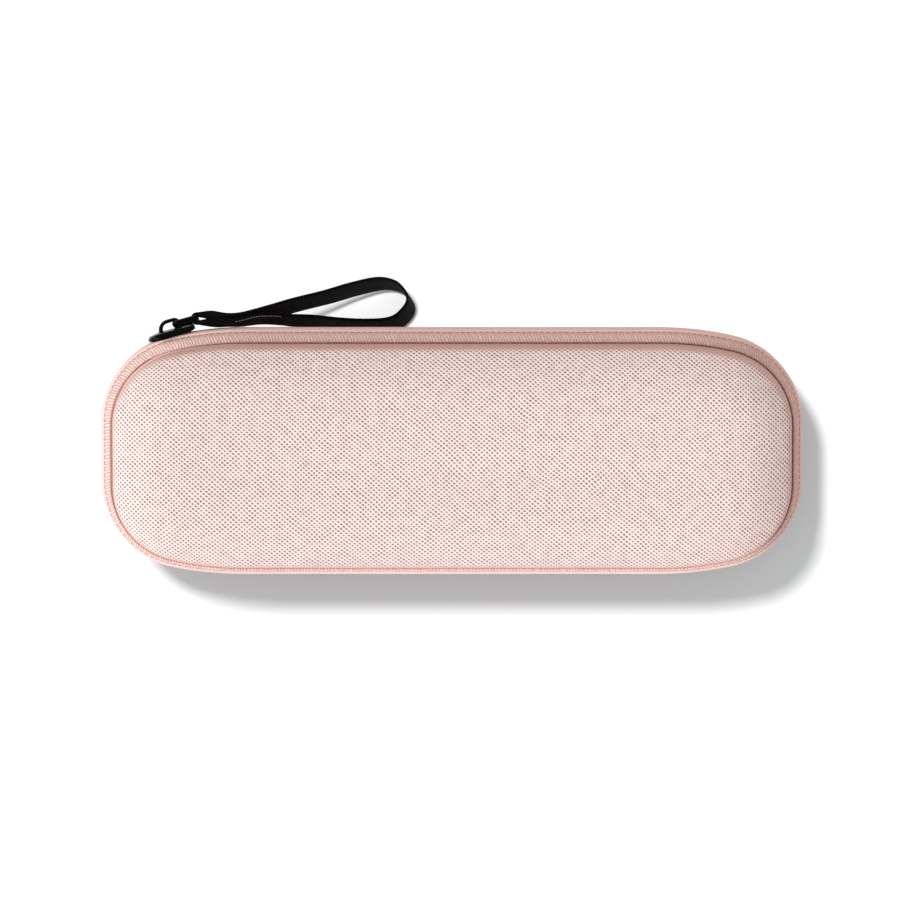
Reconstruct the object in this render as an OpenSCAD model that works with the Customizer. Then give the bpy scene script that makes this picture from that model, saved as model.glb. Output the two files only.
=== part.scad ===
// Travel case for an electric toothbrush: two moulded foam halves joined by a coil zip
// round three sides and by a cloth hinge along the back, with a slider and a wrist strap.
// X runs along the case, +Y is the side that opens, Z is up. The origin is on the table,
// under the middle of the zip band.

/* [Case] */
// Overall length of the closed case, over the zip band
case_length = 230; // [215:1:245]
// Overall width of the closed case, over the zip band
case_width = 81; // [76:1:90]
// Height of the base half, from the table to the zip
base_height = 25; // [23:0.5:30]
// Height of the lid half, from the zip to the crown
lid_height = 25; // [23:0.5:30]
// Radius of the tight arc at each corner of the plan
corner_r = 29; // [26:1:32]
// Radius of the long arc that leads each corner into the long side
blend_r = 111; // [90:1:130]
// How far the two moulded halves stand towards the hinge inside the zip band
shell_shift = 0.9; // [0:0.1:1.2]

/* [Moulded halves] */
// How far the moulded wall stands inside the outermost line of the zip
rim_inset = 3.7; // [3.4:0.1:4.2]
// Height of the moulded rim above or below the zip
rim_rise = 7.9; // [7.6:0.1:9]
// Lean of the side walls for release from the mould
wall_draft = 4; // [2:0.5:6]
// Thickness of the outer cloth
cover_t = 0.6; // [0.4:0.1:0.9]
// Thickness of the moulded foam
foam_t = 4; // [3:0.25:4.5]
// Thickness of the lining cloth
lining_t = 0.5; // [0.4:0.1:0.8]
// Radius of the upper edge of the side walls
edge_r = 4; // [3:0.25:5]
// Radius of the broad shoulder between the edge and the crown
shoulder_r = 30; // [26:1:32]
// Slope at which the lid's shoulder runs into its crown
crown_slope = 12; // [8:1:14]

/* [Zip] */
// Thickness of the zip tape
tape_t = 0.8; // [0.6:0.1:0.9]
// Height of the folded upper edge of the tape over the moulded rim
tape_fold = 1.5; // [1:0.1:1.8]
// Gap between the moulded wall and the folded edge of the tape
groove_w = 0.4; // [0.3:0.05:0.6]
// Distance from the middle of the zip to the tape's edge where it is closed
tape_edge = 0.6; // [0.4:0.1:0.8]
// Thickness of the coil, across the tape
coil_t = 1.05; // [0.8:0.05:1.2]
// Distance from the middle of the zip to the heel of a coil loop
coil_heel = 3.9; // [3.6:0.1:4]
// Height of the bar that joins the loops at their heels
coil_bar = 0.7; // [0.5:0.1:0.9]
// How far a loop reaches past the middle, between the other coil's loops
coil_reach = 0.8; // [0.5:0.1:0.9]
// Distance from one loop of a coil to the next
coil_pitch = 2.4; // [2.2:0.1:3]
// Width of one coil loop
loop_w = 1; // [0.7:0.05:1.05]
// How far each coil stands from the middle where the zip is open
open_gap = 1.9; // [1.8:0.1:2]
// Gap along the zip from its last loop to the cloth hinge
zip_end_gap = 6; // [4.5:0.5:14]
// Length over which the open zip closes towards its last loop
closing_run = 18; // [12:1:30]

/* [Slider] */
// Place of the slider on the corner arc, as the direction of its normal
slider_at = 105.5; // [105:0.5:130]
// Reach of the slider in front of the point where it touches the coil
slider_front = 5.4; // [5:0.1:6]
// Reach of the slider's outer plate behind that point
slider_back = 9.6; // [9:0.1:10]
// Reach of the slider's inner plate behind that point
inner_back = 7; // [6:0.1:7.2]
// Half width of the slider's outer plate
slider_half = 6.5; // [6.4:0.1:7]
// Thickness of the outer plate
plate_t = 1.2; // [1:0.1:1.5]
// Thickness of the inner plate
inner_t = 1.1; // [0.9:0.1:1.3]
// Half thickness of the wedge that parts the coils
wedge_half = 0.8; // [0.6:0.1:0.85]
// Clear height under the bridge
bridge_clear = 3.3; // [3:0.1:3.8]
// Clear length under the bridge
bridge_span = 5.8; // [5.4:0.1:6.4]
// Thickness of the bridge
bridge_t = 1.2; // [1:0.1:1.3]
// Width of the bridge
bridge_w = 2.2; // [1.8:0.1:2.4]

/* [Wrist strap] */
// Wire thickness of the pull ring
ring_wire = 1.2; // [1:0.1:1.3]
// Clear length inside the pull ring
ring_length = 6.4; // [6:0.1:7]
// Clear width inside the pull ring
ring_width = 4.6; // [4.4:0.1:5]
// Width of the ribbon
strap_w = 10; // [8:0.5:11]
// Thickness of the ribbon
strap_t = 1; // [0.7:0.1:1.1]

/* [Inside] */
// Width of the elastic band over the handle
handle_band_w = 26; // [18:1:32]
// Width of the elastic band over the neck of the brush
neck_band_w = 14; // [10:1:20]
// Thickness of the elastic bands
band_t = 1.1; // [0.8:0.1:1.4]
// Height of the net above the zip
net_rise = 13; // [12:0.25:14]
// Thickness of the net
net_t = 0.6; // [0.5:0.1:0.9]
// Distance from one gap of the net to the next
net_pitch = 5.5; // [5.5:0.1:7]
// Length of the net pocket, from the middle of the case
net_end = 20; // [10:1:30]

/* [Hidden] */
$fn = 96;

rose = "#e9d2cd";
dusk = "#c9a69e";
pale = "#b9b4b4";
black = "#202022";

seat_gap = 0.05;     // gap between pieces that are sewn or glued together
run_gap = 0.3;       // gap between pieces that move past each other
least_r = 0.6;        // least radius of the inner side of an edge
edge_slope = 35;     // slope where the small edge radius meets the shoulder
lining_at = cover_t + foam_t;
inside_at = cover_t + foam_t + lining_t;

// Plan of the zip band: per corner, a tight arc and a long arc that meet without a kink. The
// long arc turns by the small angle of a triangle with sides 9, 40 and 41, so that the
// centres come out in round numbers and the pieces of a sweep meet exactly.
end_x = case_length / 2;
side_y = case_width / 2;
join_run = [9, 40];
blend_sine = join_run[0] / norm(join_run);
blend_cosine = join_run[1] / norm(join_run);
blend_angle = asin(blend_sine);
tight_x = end_x - corner_r;
tight_y = side_y - blend_r + (blend_r - corner_r) * blend_cosine;
long_x = tight_x - (blend_r - corner_r) * blend_sine;
long_y = side_y - blend_r;
join_at = 90 - blend_angle;

function arc_len(r, angle) = r * angle * PI / 180;
long_len = arc_len(blend_r, blend_angle);
tight_len = arc_len(corner_r, join_at);
// Distances along the zip from the middle of the front to each change of curve
to_long = long_x;
to_tight = to_long + long_len;
to_end = to_tight + tight_len;
to_back = to_end + 2 * tight_y;
to_last = to_back + tight_len;
// The cloth hinge fills the straight part of the back, and the zip fills the rest.
hinge_half = long_x;
zip_half = to_last + long_len - zip_end_gap;

// A station is [centre x, centre y, radius, direction of the normal].
function station_point(s, out) = [s[0] + (s[2] + out) * cos(s[3]), s[1] + (s[2] + out) * sin(s[3])];
function arc_stations(x, y, r, from, to, steps) =
    [for (i = [0:steps]) [x, y, r, from + (to - from) * i / steps]];
function loop_stations() = concat(
    arc_stations(tight_x, tight_y, corner_r, 0, join_at, corner_steps),
    arc_stations(long_x, long_y, blend_r, join_at + blend_angle / 3, 90, 2),
    arc_stations(-long_x, long_y, blend_r, 90, 90 + blend_angle * 2 / 3, 2),
    arc_stations(-tight_x, tight_y, corner_r, 180 - join_at, 180, corner_steps),
    arc_stations(-tight_x, -tight_y, corner_r, 180, 180 + join_at, corner_steps),
    arc_stations(-long_x, -long_y, blend_r, 180 + join_at + blend_angle / 3, 270, 2),
    arc_stations(long_x, -long_y, blend_r, 270, 270 + blend_angle * 2 / 3, 2),
    arc_stations(tight_x, -tight_y, corner_r, 360 - join_at, 360, corner_steps));

// Station at a distance along the zip to the right of the middle of the front
function zip_right(d) =
    d < to_long ? [d, long_y, blend_r, 90] :
    d < to_tight ? [long_x, long_y, blend_r, 90 - (d - to_long) / blend_r * 180 / PI] :
    d < to_end ? [tight_x, tight_y, corner_r, join_at - (d - to_tight) / corner_r * 180 / PI] :
    d < to_back ? [tight_x, tight_y - (d - to_end), corner_r, 0] :
    d < to_last ? [tight_x, -tight_y, corner_r, -(d - to_back) / corner_r * 180 / PI] :
    [long_x, -long_y, blend_r, -join_at - (d - to_last) / blend_r * 180 / PI];
function mirrored(s) = [-s[0], s[1], s[2], 180 - s[3]];
function zip_station(d) = d >= 0 ? zip_right(d) : mirrored(zip_right(-d));

// The zip is open from the slider to its last end on the left. A coil stands off the
// middle by this much at a distance along the zip.
slider_d = -(to_end - arc_len(corner_r, 180 - slider_at));
open_from = slider_d + 2.6;
open_full = slider_d - 2.5;
shut_from = -zip_half + closing_run;
function smooth(t) = let(c = min(1, max(0, t))) c * c * (3 - 2 * c);
function stand_off(d) = open_gap * smooth((open_from - d) / (open_from - open_full))
    * smooth((d + zip_half) / (shut_from + zip_half));
// The same for a station of the closed loop, read from the direction of its normal
function loop_place(s) =
    s[3] < 90 ? 0 :
    s[3] < 180 - join_at ? -(to_long + arc_len(blend_r, s[3] - 90)) :
    s[3] <= 180 && s[1] > 0 ? -(to_tight + arc_len(corner_r, s[3] - 180 + join_at)) :
    s[3] <= 180 + join_at ? -(to_back + arc_len(corner_r, s[3] - 180)) :
    s[0] < 0 ? -(to_last + arc_len(blend_r, s[3] - 180 - join_at)) : -zip_half;

// Section of a moulded half, at a depth under its outer skin, from the rim to the middle.
// It is measured as [outward from the zip line, height from the zip].
function turn_points(start, r, from, to, steps) = [for (i = [1:steps])
    let(a = from + (to - from) * i / steps)
    [start[0] + r * (cos(a) - cos(from)), start[1] + r * (sin(a) - sin(from))]];
function skin(depth, height, slope) =
    let(r1 = max(edge_r - depth, least_r), r2 = shoulder_r - depth, lean = tan(wall_draft),
        from = wall_draft, mid = 90 - edge_slope, to = 90 - slope,
        foot = -rim_inset - depth / cos(wall_draft),
        wide = foot + r1 * (cos(mid) - cos(from)) + r2 * (cos(to) - cos(mid)) + corner_r,
        tall = height - depth - r1 * (sin(mid) - sin(from)) - r2 * (sin(to) - sin(mid)),
        t = tan(slope / 2),
        top = (tall - t * (wide + rim_rise * lean)) / (1 - t * lean),
        wall = [foot - (top - rim_rise) * lean, top],
        edge = turn_points(wall, r1, from, mid, 4),
        shoulder = turn_points(edge[3], r2, mid, to, 5),
        last = shoulder[4],
        crown_r = slope > 0 ? (last[0] + corner_r) / sin(slope) : 0,
        crown = slope > 0 ? turn_points(last, crown_r, to, 90, 3) : [[-corner_r, last[1]]])
    concat([[foot, rim_rise], wall], edge, shoulder, [for (i = [0:len(crown) - 1])
        i == len(crown) - 1 ? [-corner_r, height - depth] : crown[i]]);
function reversed(list) = [for (i = [len(list) - 1:-1:0]) list[i]];
// Outward place of the inner face of the lining's side wall at a height from the zip
function inner_wall(rise) = -rim_inset - inside_at / cos(wall_draft)
    - (rise - rim_rise) * tan(wall_draft);

module skin_between(outer, inner, height, slope) {
    polygon(concat(skin(outer, height, slope), reversed(skin(inner, height, slope))));
}

// Draws a section along one straight side of the loop
module along_side(distance, half) {
    translate([-half, distance, 0])
        rotate([90, 0, 90])
            linear_extrude(2 * half)
                children();
}

// A wedge between two directions, to cut a quarter turn of a section at the join of two arcs
module wedge(first, second, low, high) {
    far = 1000;
    translate([0, 0, low])
        linear_extrude(high - low)
            polygon([[0, 0], far * first, far * (first + second), far * second]);
}
module quarter(r, first, second) {
    intersection() {
        rotate_extrude(angle = 90) translate([r, 0]) children();
        wedge(first, second, -1, lid_height + base_height);
    }
}
// Draws a section round the whole loop. The section is in [outward, height].
module round_loop() {
    for (turn = [0, 180]) {
        rotate([0, 0, turn]) {
            along_side(side_y, long_x) children();
            rotate([0, 0, -90]) along_side(end_x, tight_y) children();
            for (side = [0, 1]) {
                mirror([side, 0, 0]) {
                    translate([tight_x, tight_y, 0]) quarter(corner_r, [1, 0], join_run) children();
                    translate([long_x, long_y, 0]) quarter(blend_r, join_run, [0, 1]) children();
                }
            }
        }
    }
}

// Plan of the loop at an inset from the zip line
module loop_plan(inset) {
    square([2 * long_x, 2 * (side_y - inset)], center = true);
    for (side = [0, 1]) {
        mirror([side, 0]) {
            intersection() {
                translate([long_x, long_y]) circle(blend_r - inset);
                translate([long_x, -long_y]) circle(blend_r - inset);
                translate([long_x, -side_y])
                    square([tight_x + (corner_r - inset) * cos(join_at) - long_x, case_width]);
            }
            if (inset < corner_r - 1) {
                translate([tight_x, -tight_y])
                    square([corner_r - inset, 2 * tight_y]);
                for (end = [-1, 1]) {
                    intersection() {
                        translate([tight_x, end * tight_y]) circle(corner_r - inset);
                        translate([tight_x, end > 0 ? tight_y : -tight_y - corner_r])
                            square([corner_r, corner_r]);
                    }
                }
            }
        }
    }
}

// A moulded layer: its section round the loop, closed over the middle of the case
module layer(outer, inner, height, slope) {
    round_loop() skin_between(outer, inner, height, slope);
    translate([0, 0, height - inner])
        linear_extrude(inner - outer)
            loop_plan(corner_r);
}

module in_lid() {
    translate([0, 0, base_height]) children();
}
module in_base() {
    translate([0, 0, base_height]) mirror([0, 0, 1]) children();
}
module at_shell() {
    translate([0, -shell_shift, 0]) children();
}

module base_cover() {
    color(rose) in_base() at_shell() layer(0, cover_t, base_height, 0);
}
module base_shell() {
    color("#d8cfcd") in_base() at_shell() layer(cover_t, lining_at, base_height, 0);
}
module base_lining() {
    color(pale) in_base() at_shell() layer(lining_at, inside_at, base_height, 0);
}
module lid_cover() {
    color(rose) in_lid() at_shell() layer(0, cover_t, lid_height, crown_slope);
}
module lid_shell() {
    color("#d8cfcd") in_lid() at_shell() layer(cover_t, lining_at, lid_height, crown_slope);
}
module lid_lining() {
    color(pale) in_lid() at_shell() layer(lining_at, inside_at, lid_height, crown_slope);
}

// Tape: it is sewn flat under the moulded rim, folds up beside the wall into the groove,
// and bows outward over the coil. Each point is [outward, height, share that follows the zip].
leg_in = -8;                             // inner edge of the sewn leg
leg_top = rim_rise - seat_gap;
leg_low = leg_top - tape_t + seat_gap;
fold_at = -rim_inset + groove_w + 0.15;  // face of the fold towards the wall
fold_top = rim_rise + tape_fold;
tape_out = 0;                            // outer face of the tape beside the middle
tape_in = tape_out - tape_t;
corner_steps = 9;                        // straight steps of the tape in a corner
step_sag = corner_r * (1 - cos(join_at / corner_steps / 2));    // depth of a step inside its arc
coil_out = tape_in - step_sag - seat_gap;    // the coil is sewn to the inner face of the tape
coil_in = coil_out - coil_t;
function tape_section(lift) = [
    [-rim_inset - 0.3, leg_low, 0],
    [leg_in, leg_low, 0],
    [leg_in, leg_top, 0],
    [fold_at, leg_top, 0],
    [fold_at, fold_top - 0.2, 0],
    [fold_at + 0.3, fold_top, 0],
    [fold_at + 0.75, fold_top - 0.5, 0.2],
    [tape_out - 0.35, rim_rise - 0.6, 0.8],
    [tape_out - 0.02, rim_rise - 2.2, 1],
    [tape_out, tape_edge + lift, 1],
    [tape_in, tape_edge + lift, 1],
    [tape_in, rim_rise - 1.9, 1],
    [tape_in - 0.4, rim_rise - 1.2, 0.8]];
function tape_point(s, p) = concat(
    station_point(s, p[0]) - [0, shell_shift * (1 - p[2])], [p[1]]);

// Joins rings of points into one closed surface. The rings run round the loop.
function ring_faces(rings, n) = [for (i = [0:rings - 1], j = [0:n - 1])
    let(a = i * n, b = ((i + 1) % rings) * n, k = (j + 1) % n)
    each [[a + j, b + j, b + k], [a + j, b + k, a + k]]];

module tape() {
    stations = loop_stations();
    rings = [for (s = stations) [for (p = tape_section(stand_off(loop_place(s)))) tape_point(s, p)]];
    polyhedron([for (r = rings) each r], ring_faces(len(rings), len(rings[0])));
}
module lower_tape() {
    color(rose) in_base() tape();
}
module upper_tape() {
    color(rose) in_lid() tape();
}

// Coil: a bar at the heels carries loops that reach past the middle of the zip, where they
// stand between the loops of the other coil. The two coils differ by half a pitch.
bar_low = coil_heel - coil_bar;
head_cut = 0.35;
loop_count = floor(2 * zip_half / coil_pitch);
coil_start = -loop_count * coil_pitch / 2;
function bar_ring(d) = let(s = zip_station(d), z = stand_off(d)) [
    concat(station_point(s, coil_in), [coil_heel + z]),
    concat(station_point(s, coil_out), [coil_heel + z]),
    concat(station_point(s, coil_out), [bar_low + z]),
    concat(station_point(s, coil_in), [bar_low + z])];
function head_ring(d) = let(s = zip_station(d), z = stand_off(d)) [
    concat(station_point(s, coil_out), [head_cut - coil_reach + z]),
    concat(station_point(s, coil_out - head_cut), [-coil_reach + z]),
    concat(station_point(s, coil_in), [-coil_reach + z])];
// Points of one edge of a loop: four of the bar, then three of the head
edge_points = 7;
function coil_points(shift) = [for (i = [0:loop_count - 1], side = [-1, 1])
    let(d = coil_start + (i + shift) * coil_pitch + side * loop_w / 2)
    each concat(bar_ring(d), head_ring(d))];
function coil_faces() = concat(
    [[0, 1, 2], [0, 2, 3]],
    [for (i = [0:loop_count - 1])
        let(a = 2 * i * edge_points, b = a + edge_points, c = b + edge_points)
        each concat(
            // sides of the loop below the bar
            [[a + 3, a + 2, a + 4], [a + 3, a + 4, a + 5], [a + 3, a + 5, a + 6]],
            [[b + 2, b + 3, b + 4], [b + 4, b + 3, b + 5], [b + 5, b + 3, b + 6]],
            // outer, head and inner faces of the loop
            [[a + 2, b + 2, b + 4], [a + 2, b + 4, a + 4], [a + 4, b + 4, b + 5], [a + 4, b + 5, a + 5]],
            [[a + 5, b + 5, b + 6], [a + 5, b + 6, a + 6], [a + 6, b + 6, b + 3], [a + 6, b + 3, a + 3]],
            // bar over the loop
            [[a + 1, b + 1, b + 2], [a + 1, b + 2, a + 2]],
            [[a, b, b + 1], [a, b + 1, a + 1], [a + 3, b + 3, b], [a + 3, b, a]],
            // bar between this loop and the next
            i == loop_count - 1 ? [] : [
                [b, c, c + 1], [b, c + 1, b + 1], [b + 1, c + 1, c + 2], [b + 1, c + 2, b + 2],
                [b + 2, c + 2, c + 3], [b + 2, c + 3, b + 3], [b + 3, c + 3, c], [b + 3, c, b]])],
    let(e = (2 * loop_count - 1) * edge_points) [[e + 2, e + 1, e], [e + 3, e + 2, e]]);

module coil(shift) {
    polyhedron(coil_points(shift), coil_faces());
}
module lower_coil() {
    color(dusk) in_base() coil(0.25);
}
module upper_coil() {
    color(dusk) in_lid() coil(0.75);
}

// Draws at a station of the zip, with X outward and Y along the tape
module at_station(s) {
    translate([s[0], s[1], base_height])
        rotate([0, 0, s[3]])
            translate([s[2], 0, 0])
                children();
}

// Stops clamped on the lower coil just past its first and last loop
stop_length = 2.6;
stop_t = 1.5;
stop_gap = 0.2;
module end_stops() {
    color(dusk)
        for (side = [-1, 1])
            at_station(zip_station(side * (zip_half + stop_length / 2 + stop_gap)))
                translate([coil_out - stop_t, -stop_length / 2, -bar_low - coil_bar])
                    cube([stop_t, stop_length, coil_heel - 0.6]);
}

// Cloth hinge behind the two tapes along the back
module hinge_strip() {
    half = 2.1;
    color(rose)
        translate([-hinge_half, -side_y - coil_out, base_height - half])
            cube([2 * hinge_half, tape_t, 2 * half]);
}

// Binding tape round the inner edge of each half
binding_t = 0.65;
binding_step = 0.9;
binding_rise = 3;
module binding() {
    low = leg_low - seat_gap;
    wide = binding_t;
    start = -rim_inset - binding_step;
    up = rim_rise + binding_rise;
    round_loop()
        polygon([
            [start, low - wide],
            [start, low],
            [inner_wall(rim_rise) - seat_gap, low],
            [inner_wall(rim_rise) - seat_gap, rim_rise],
            [inner_wall(up) - seat_gap, up],
            [inner_wall(up) - seat_gap - wide, up],
            [inner_wall(rim_rise) - seat_gap - wide, rim_rise],
            [inner_wall(rim_rise) - seat_gap - wide, low - wide]]);
}
module base_binding() {
    color(dusk) in_base() at_shell() binding();
}
module lid_binding() {
    color(dusk) in_lid() at_shell() binding();
}

// Elastic band: an arch over the floor of the base with a sewn foot at each side
function arch_points(half, rise, r_extra) =
    let(r = (half * half + rise * rise) / (2 * rise), span = 2 * asin(min(1, half / r)),
        full = rise > half ? 360 - span : span)
    [for (i = [0:12]) let(a = 90 + full / 2 - full * i / 12)
        [(r + r_extra) * cos(a), (r + r_extra) * sin(a) + rise - r]];
module elastic_band(width, half, rise) {
    foot = 3.6;
    inner = arch_points(half - band_t / 2, rise - band_t / 2, 0);
    outer = arch_points(half - band_t / 2, rise - band_t / 2, band_t);
    outline = concat(
        [[-half - foot, 0], [-half - foot, band_t]],
        [for (i = [1:11]) outer[i]],
        [[half + foot, band_t], [half + foot, 0]],
        reversed([for (i = [0:12]) [inner[i][0], max(0, inner[i][1])]]));
    translate([-width / 2, 0, inside_at + seat_gap])
        rotate([90, 0, 90])
            linear_extrude(width)
                polygon(outline);
}
handle_band_x = -36;
neck_band_x = 66;
handle_half = 12.6;
handle_rise = 10.5;
neck_half = 8.6;
neck_rise = 7.5;
module handle_band() {
    color(black) at_shell() translate([handle_band_x, 0, 0]) elastic_band(handle_band_w, handle_half, handle_rise);
}
module neck_band() {
    color(black) at_shell() translate([neck_band_x, 0, 0]) elastic_band(neck_band_w, neck_half, neck_rise);
}

// Net pocket over the left part of the lid
net_edge = 0.1 - inner_wall(net_rise);
net_rim = 3;
elastic_l = 4;
elastic_t = 1.6;
hole_r = net_pitch / 2 - 0.55;
module pocket_plan(inset) {
    intersection() {
        loop_plan(net_edge + inset);
        translate([-case_length, -case_width])
            square([case_length + net_end - inset, 2 * case_width]);
    }
}
module pocket_net() {
    half_w = side_y - net_edge - net_rim - net_pitch / 2;
    left = -end_x + net_edge + net_rim + net_pitch / 2;
    rows = floor(half_w / net_pitch);
    right = net_end - elastic_l - net_pitch / 2;
    color(pale) in_lid() at_shell()
        translate([0, 0, net_rise])
            linear_extrude(net_t)
                difference() {
                    pocket_plan(0);
                    for (i = [0:floor((right - left) / net_pitch)], j = [-rows:rows]) {
                        x = left + i * net_pitch;
                        y = j * net_pitch;
                        // gaps stay clear of the rounded corners of the net
                        if (x > -tight_x || norm([x + tight_x, max(0, abs(y) - tight_y)])
                            < corner_r - net_edge - net_rim - hole_r)
                            translate([x, y]) circle(hole_r, $fn = 4);
                    }
                }
}
module pocket_elastic() {
    half = side_y - net_edge - 0.3;
    color(black) in_lid() at_shell()
        translate([net_end - elastic_l, -half, net_rise - seat_gap - elastic_t])
            cube([elastic_l, 2 * half, elastic_t]);
}

// Slider: an outer plate over the tape, an inner plate behind the coils and a wedge at
// the front that joins the plates. X is outward and Y is the way it closes the zip.
outer_face = 0.25;
lag = inner_back * inner_back / (2 * corner_r);
inner_face = coil_in - lag - run_gap;
function half_plate(front, back, wide) = [
    [front, wide * 0.35], [front - 0.7, wide * 0.72], [front - 2.2, wide], [-1, wide],
    [-back * 0.62, wide * 0.8], [-back + 1.3, wide * 0.76], [-back, wide * 0.55]];
function plate_outline(front, back, wide) = let(half = half_plate(front, back, wide))
    concat(half, [for (p = reversed(half)) [p[0], -p[1]]]);
module plate(from, t) {
    translate([from, 0, 0]) rotate([90, 0, 90]) linear_extrude(t) children();
}
module at_slider() {
    at_station([-tight_x, tight_y, corner_r, slider_at]) children();
}
module slider_body() {
    wedge_back = slider_front - 4.8;
    wedge_front = slider_front - 0.8;
    low_half = slider_half - 1.1;
    color(black) at_slider() {
        difference() {
            plate(outer_face, plate_t) polygon(plate_outline(slider_front, slider_back, slider_half));
            // two shallow steps that lighten the outer face
            for (side = [-1, 1])
                translate([outer_face + plate_t - 0.35, -slider_back * 0.6, side * slider_half * 0.5 - 0.9])
                    cube([1, slider_back * 0.6 + 1.5, 1.8]);
        }
        plate(inner_face - inner_t, inner_t) polygon(plate_outline(slider_front, inner_back, low_half));
        plate(inner_face, outer_face - inner_face)
            polygon([[wedge_back, 0], [wedge_back + 2, wedge_half], [wedge_front, wedge_half],
                     [wedge_front, -wedge_half], [wedge_back + 2, -wedge_half]]);
    }
}

// Bridge: a flat bar bent up from the outer plate, with a round nose where the ring pulls
bridge_front = 2.4;
bridge_back = bridge_front - bridge_span - 2 * bridge_t;
bridge_seat = outer_face + plate_t;
bridge_round = 2.2;
bridge_nose = 3.8;
module bridge_shape(grow) {
    // X is along the slider, Y is outward
    low = bridge_back + bridge_t - grow;
    high = bridge_front - bridge_t + grow;
    top = bridge_clear + grow;
    r = bridge_round + grow - bridge_t;
    q = bridge_nose + grow - bridge_t;
    difference() {
        translate([low, 0]) square([high - low, top]);
        translate([low, top - r]) square([r, r]);
        translate([high - q, top - q]) square([q, q]);
    }
    intersection() {
        translate([low + r, top - r]) circle(r);
        translate([low, top - r]) square([r, r]);
    }
    intersection() {
        translate([high - q, top - q]) circle(q);
        translate([high - q, top - q]) square([q, q]);
    }
}
module slider_bridge() {
    color(black) at_slider()
        translate([bridge_seat, 0, 0])
            mirror([1, 0, 0])
                rotate([0, 0, 90])
                    translate([0, 0, -bridge_w / 2])
                        linear_extrude(bridge_w)
                            difference() {
                                bridge_shape(bridge_t);
                                bridge_shape(0);
                            }
}

// Pull ring: a round wire bent into a long link that goes through the bridge
ring_tilt = 16;
ring_bend = 0.8;
ring_out = bridge_seat + bridge_clear / 2;
ring_start = bridge_back + bridge_t + run_gap + ring_wire;
module ring_side(length, distance) {
    translate([-length / 2, distance, 0]) rotate([0, 90, 0]) cylinder(d = ring_wire, h = length);
}
module ring_shape() {
    long_in = ring_length / 2;
    wide_in = ring_width / 2;
    for (turn = [0, 180])
        rotate([0, 0, turn]) {
            ring_side(2 * (long_in - ring_bend), wide_in + ring_wire / 2);
            rotate([0, 0, 90]) ring_side(2 * (wide_in - ring_bend), long_in + ring_wire / 2);
            for (side = [0, 1])
                mirror([0, side, 0])
                    translate([long_in - ring_bend, wide_in - ring_bend, 0])
                        rotate_extrude(angle = 90)
                            translate([ring_bend + ring_wire / 2, 0])
                                circle(d = ring_wire);
        }
}
module pull_ring() {
    color(black) at_slider()
        translate([ring_out, ring_start - ring_wire - ring_length / 2, 0])
            rotate([0, 0, -90])
                rotate([90 - ring_tilt, 0, 0])
                    ring_shape();
}

// Wrist strap: a ribbon folded round the far end of the ring, sewn to itself along the
// neck and open beyond it as a loop that droops to the table. The fold bulges outward. A
// row is the middle of the ribbon: [right of the ring, outward, share of the height
// between table and zip].
slider_out = [cos(slider_at), sin(slider_at), 0];
slider_rear = [sin(slider_at), -cos(slider_at), 0];
bar_at = [-tight_x, tight_y, base_height] + (corner_r + ring_out) * slider_out
    + (1.5 * ring_wire + ring_length - ring_start) * slider_rear;
bar_up = [slider_out[0] * sin(ring_tilt), slider_out[1] * sin(ring_tilt), cos(ring_tilt)];
bar_face = cross(bar_up, slider_rear);
lean = [-0.26, 0.46, 0.85];
upper_rows = [[2.6, 1.2, 0.98], [4.9, 1.1, 0.94], [7.9, 0.4, 0.88], [13.4, 0, 0.78],
              [19.9, 0.9, 0.63], [25.9, 2.1, 0.5], [30.4, 3.3, 0.41]];
loop_rows = [[34.9, 4.4, 0.34], [42.9, 6.2, 0.2], [51.4, 8.2, 0.11], [59.9, 9.6, 0.05],
             [65.9, 8.5, 0.02], [69.6, 5.5, 0.01], [71, 2, 0.01], [68.8, -1, 0.01],
             [64.2, -2.9, 0.02], [56.9, -3.5, 0.06], [47.9, -3, 0.14], [38.9, -1.9, 0.25]];
lower_rows = [[30.4, -1.4, 0.41], [25.9, -0.8, 0.5], [19.9, -0.6, 0.63], [13.4, -1.35, 0.78],
              [7.9, -1.35, 0.88], [4.4, -1.4, 0.95]];
strap_low = strap_w / 2 * lean[2] + 0.4;
function strap_row(r) = [
    bar_at[0] + r[0],
    bar_at[1] + r[1],
    strap_low + (base_height - strap_low) * r[2]];
strap_path = [for (r = concat(upper_rows, loop_rows, lower_rows)) strap_row(r)];
// Smooth curve through the rows, in three steps from each row to the next
function curve_at(a, b, c, d, t) = 0.5 * (2 * b + (c - a) * t + (2 * a - 5 * b + 4 * c - d) * t * t
    + (3 * b - a - 3 * c + d) * t * t * t);
function smooth_path(list) = let(n = len(list)) concat(
    [for (i = [0:n - 2], k = [0:2])
        curve_at(list[max(0, i - 1)], list[i], list[i + 1], list[min(n - 1, i + 2)], k / 3)],
    [list[n - 1]]);
wrap_r = ring_wire / 2 + run_gap + strap_t / 2;
wrap_half = ring_width / 2 - 0.6;
wrap = [for (i = [0:6]) let(a = -90 - 30 * i)
    bar_at + wrap_r * (cos(a) * slider_rear + sin(a) * bar_face)];
ribbon = concat(smooth_path(strap_path), wrap);
function unit(v) = v / norm(v);
function ribbon_up(i) = let(run = norm(ribbon[i] - bar_at), share = smooth((run - 8) / 22))
    unit((1 - share) * bar_up + share * lean);
function ribbon_half(i) = let(run = norm(ribbon[i] - bar_at))
    wrap_half + (strap_w / 2 - wrap_half) * smooth((run - 2) / 8);
function ribbon_ring(i) = let(
    n = len(ribbon), along = ribbon[(i + 1) % n] - ribbon[(i + n - 1) % n], up = ribbon_up(i),
    face = unit(cross(along, up)), h = ribbon_half(i) * up, t = strap_t / 2 * face, p = ribbon[i])
    [p + h + t, p - h + t, p - h - t, p + h - t];
module wrist_strap() {
    rings = [for (i = [0:len(ribbon) - 1]) ribbon_ring(i)];
    color(black) polyhedron([for (r = rings) each r], ring_faces(len(rings), 4));
}

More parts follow.
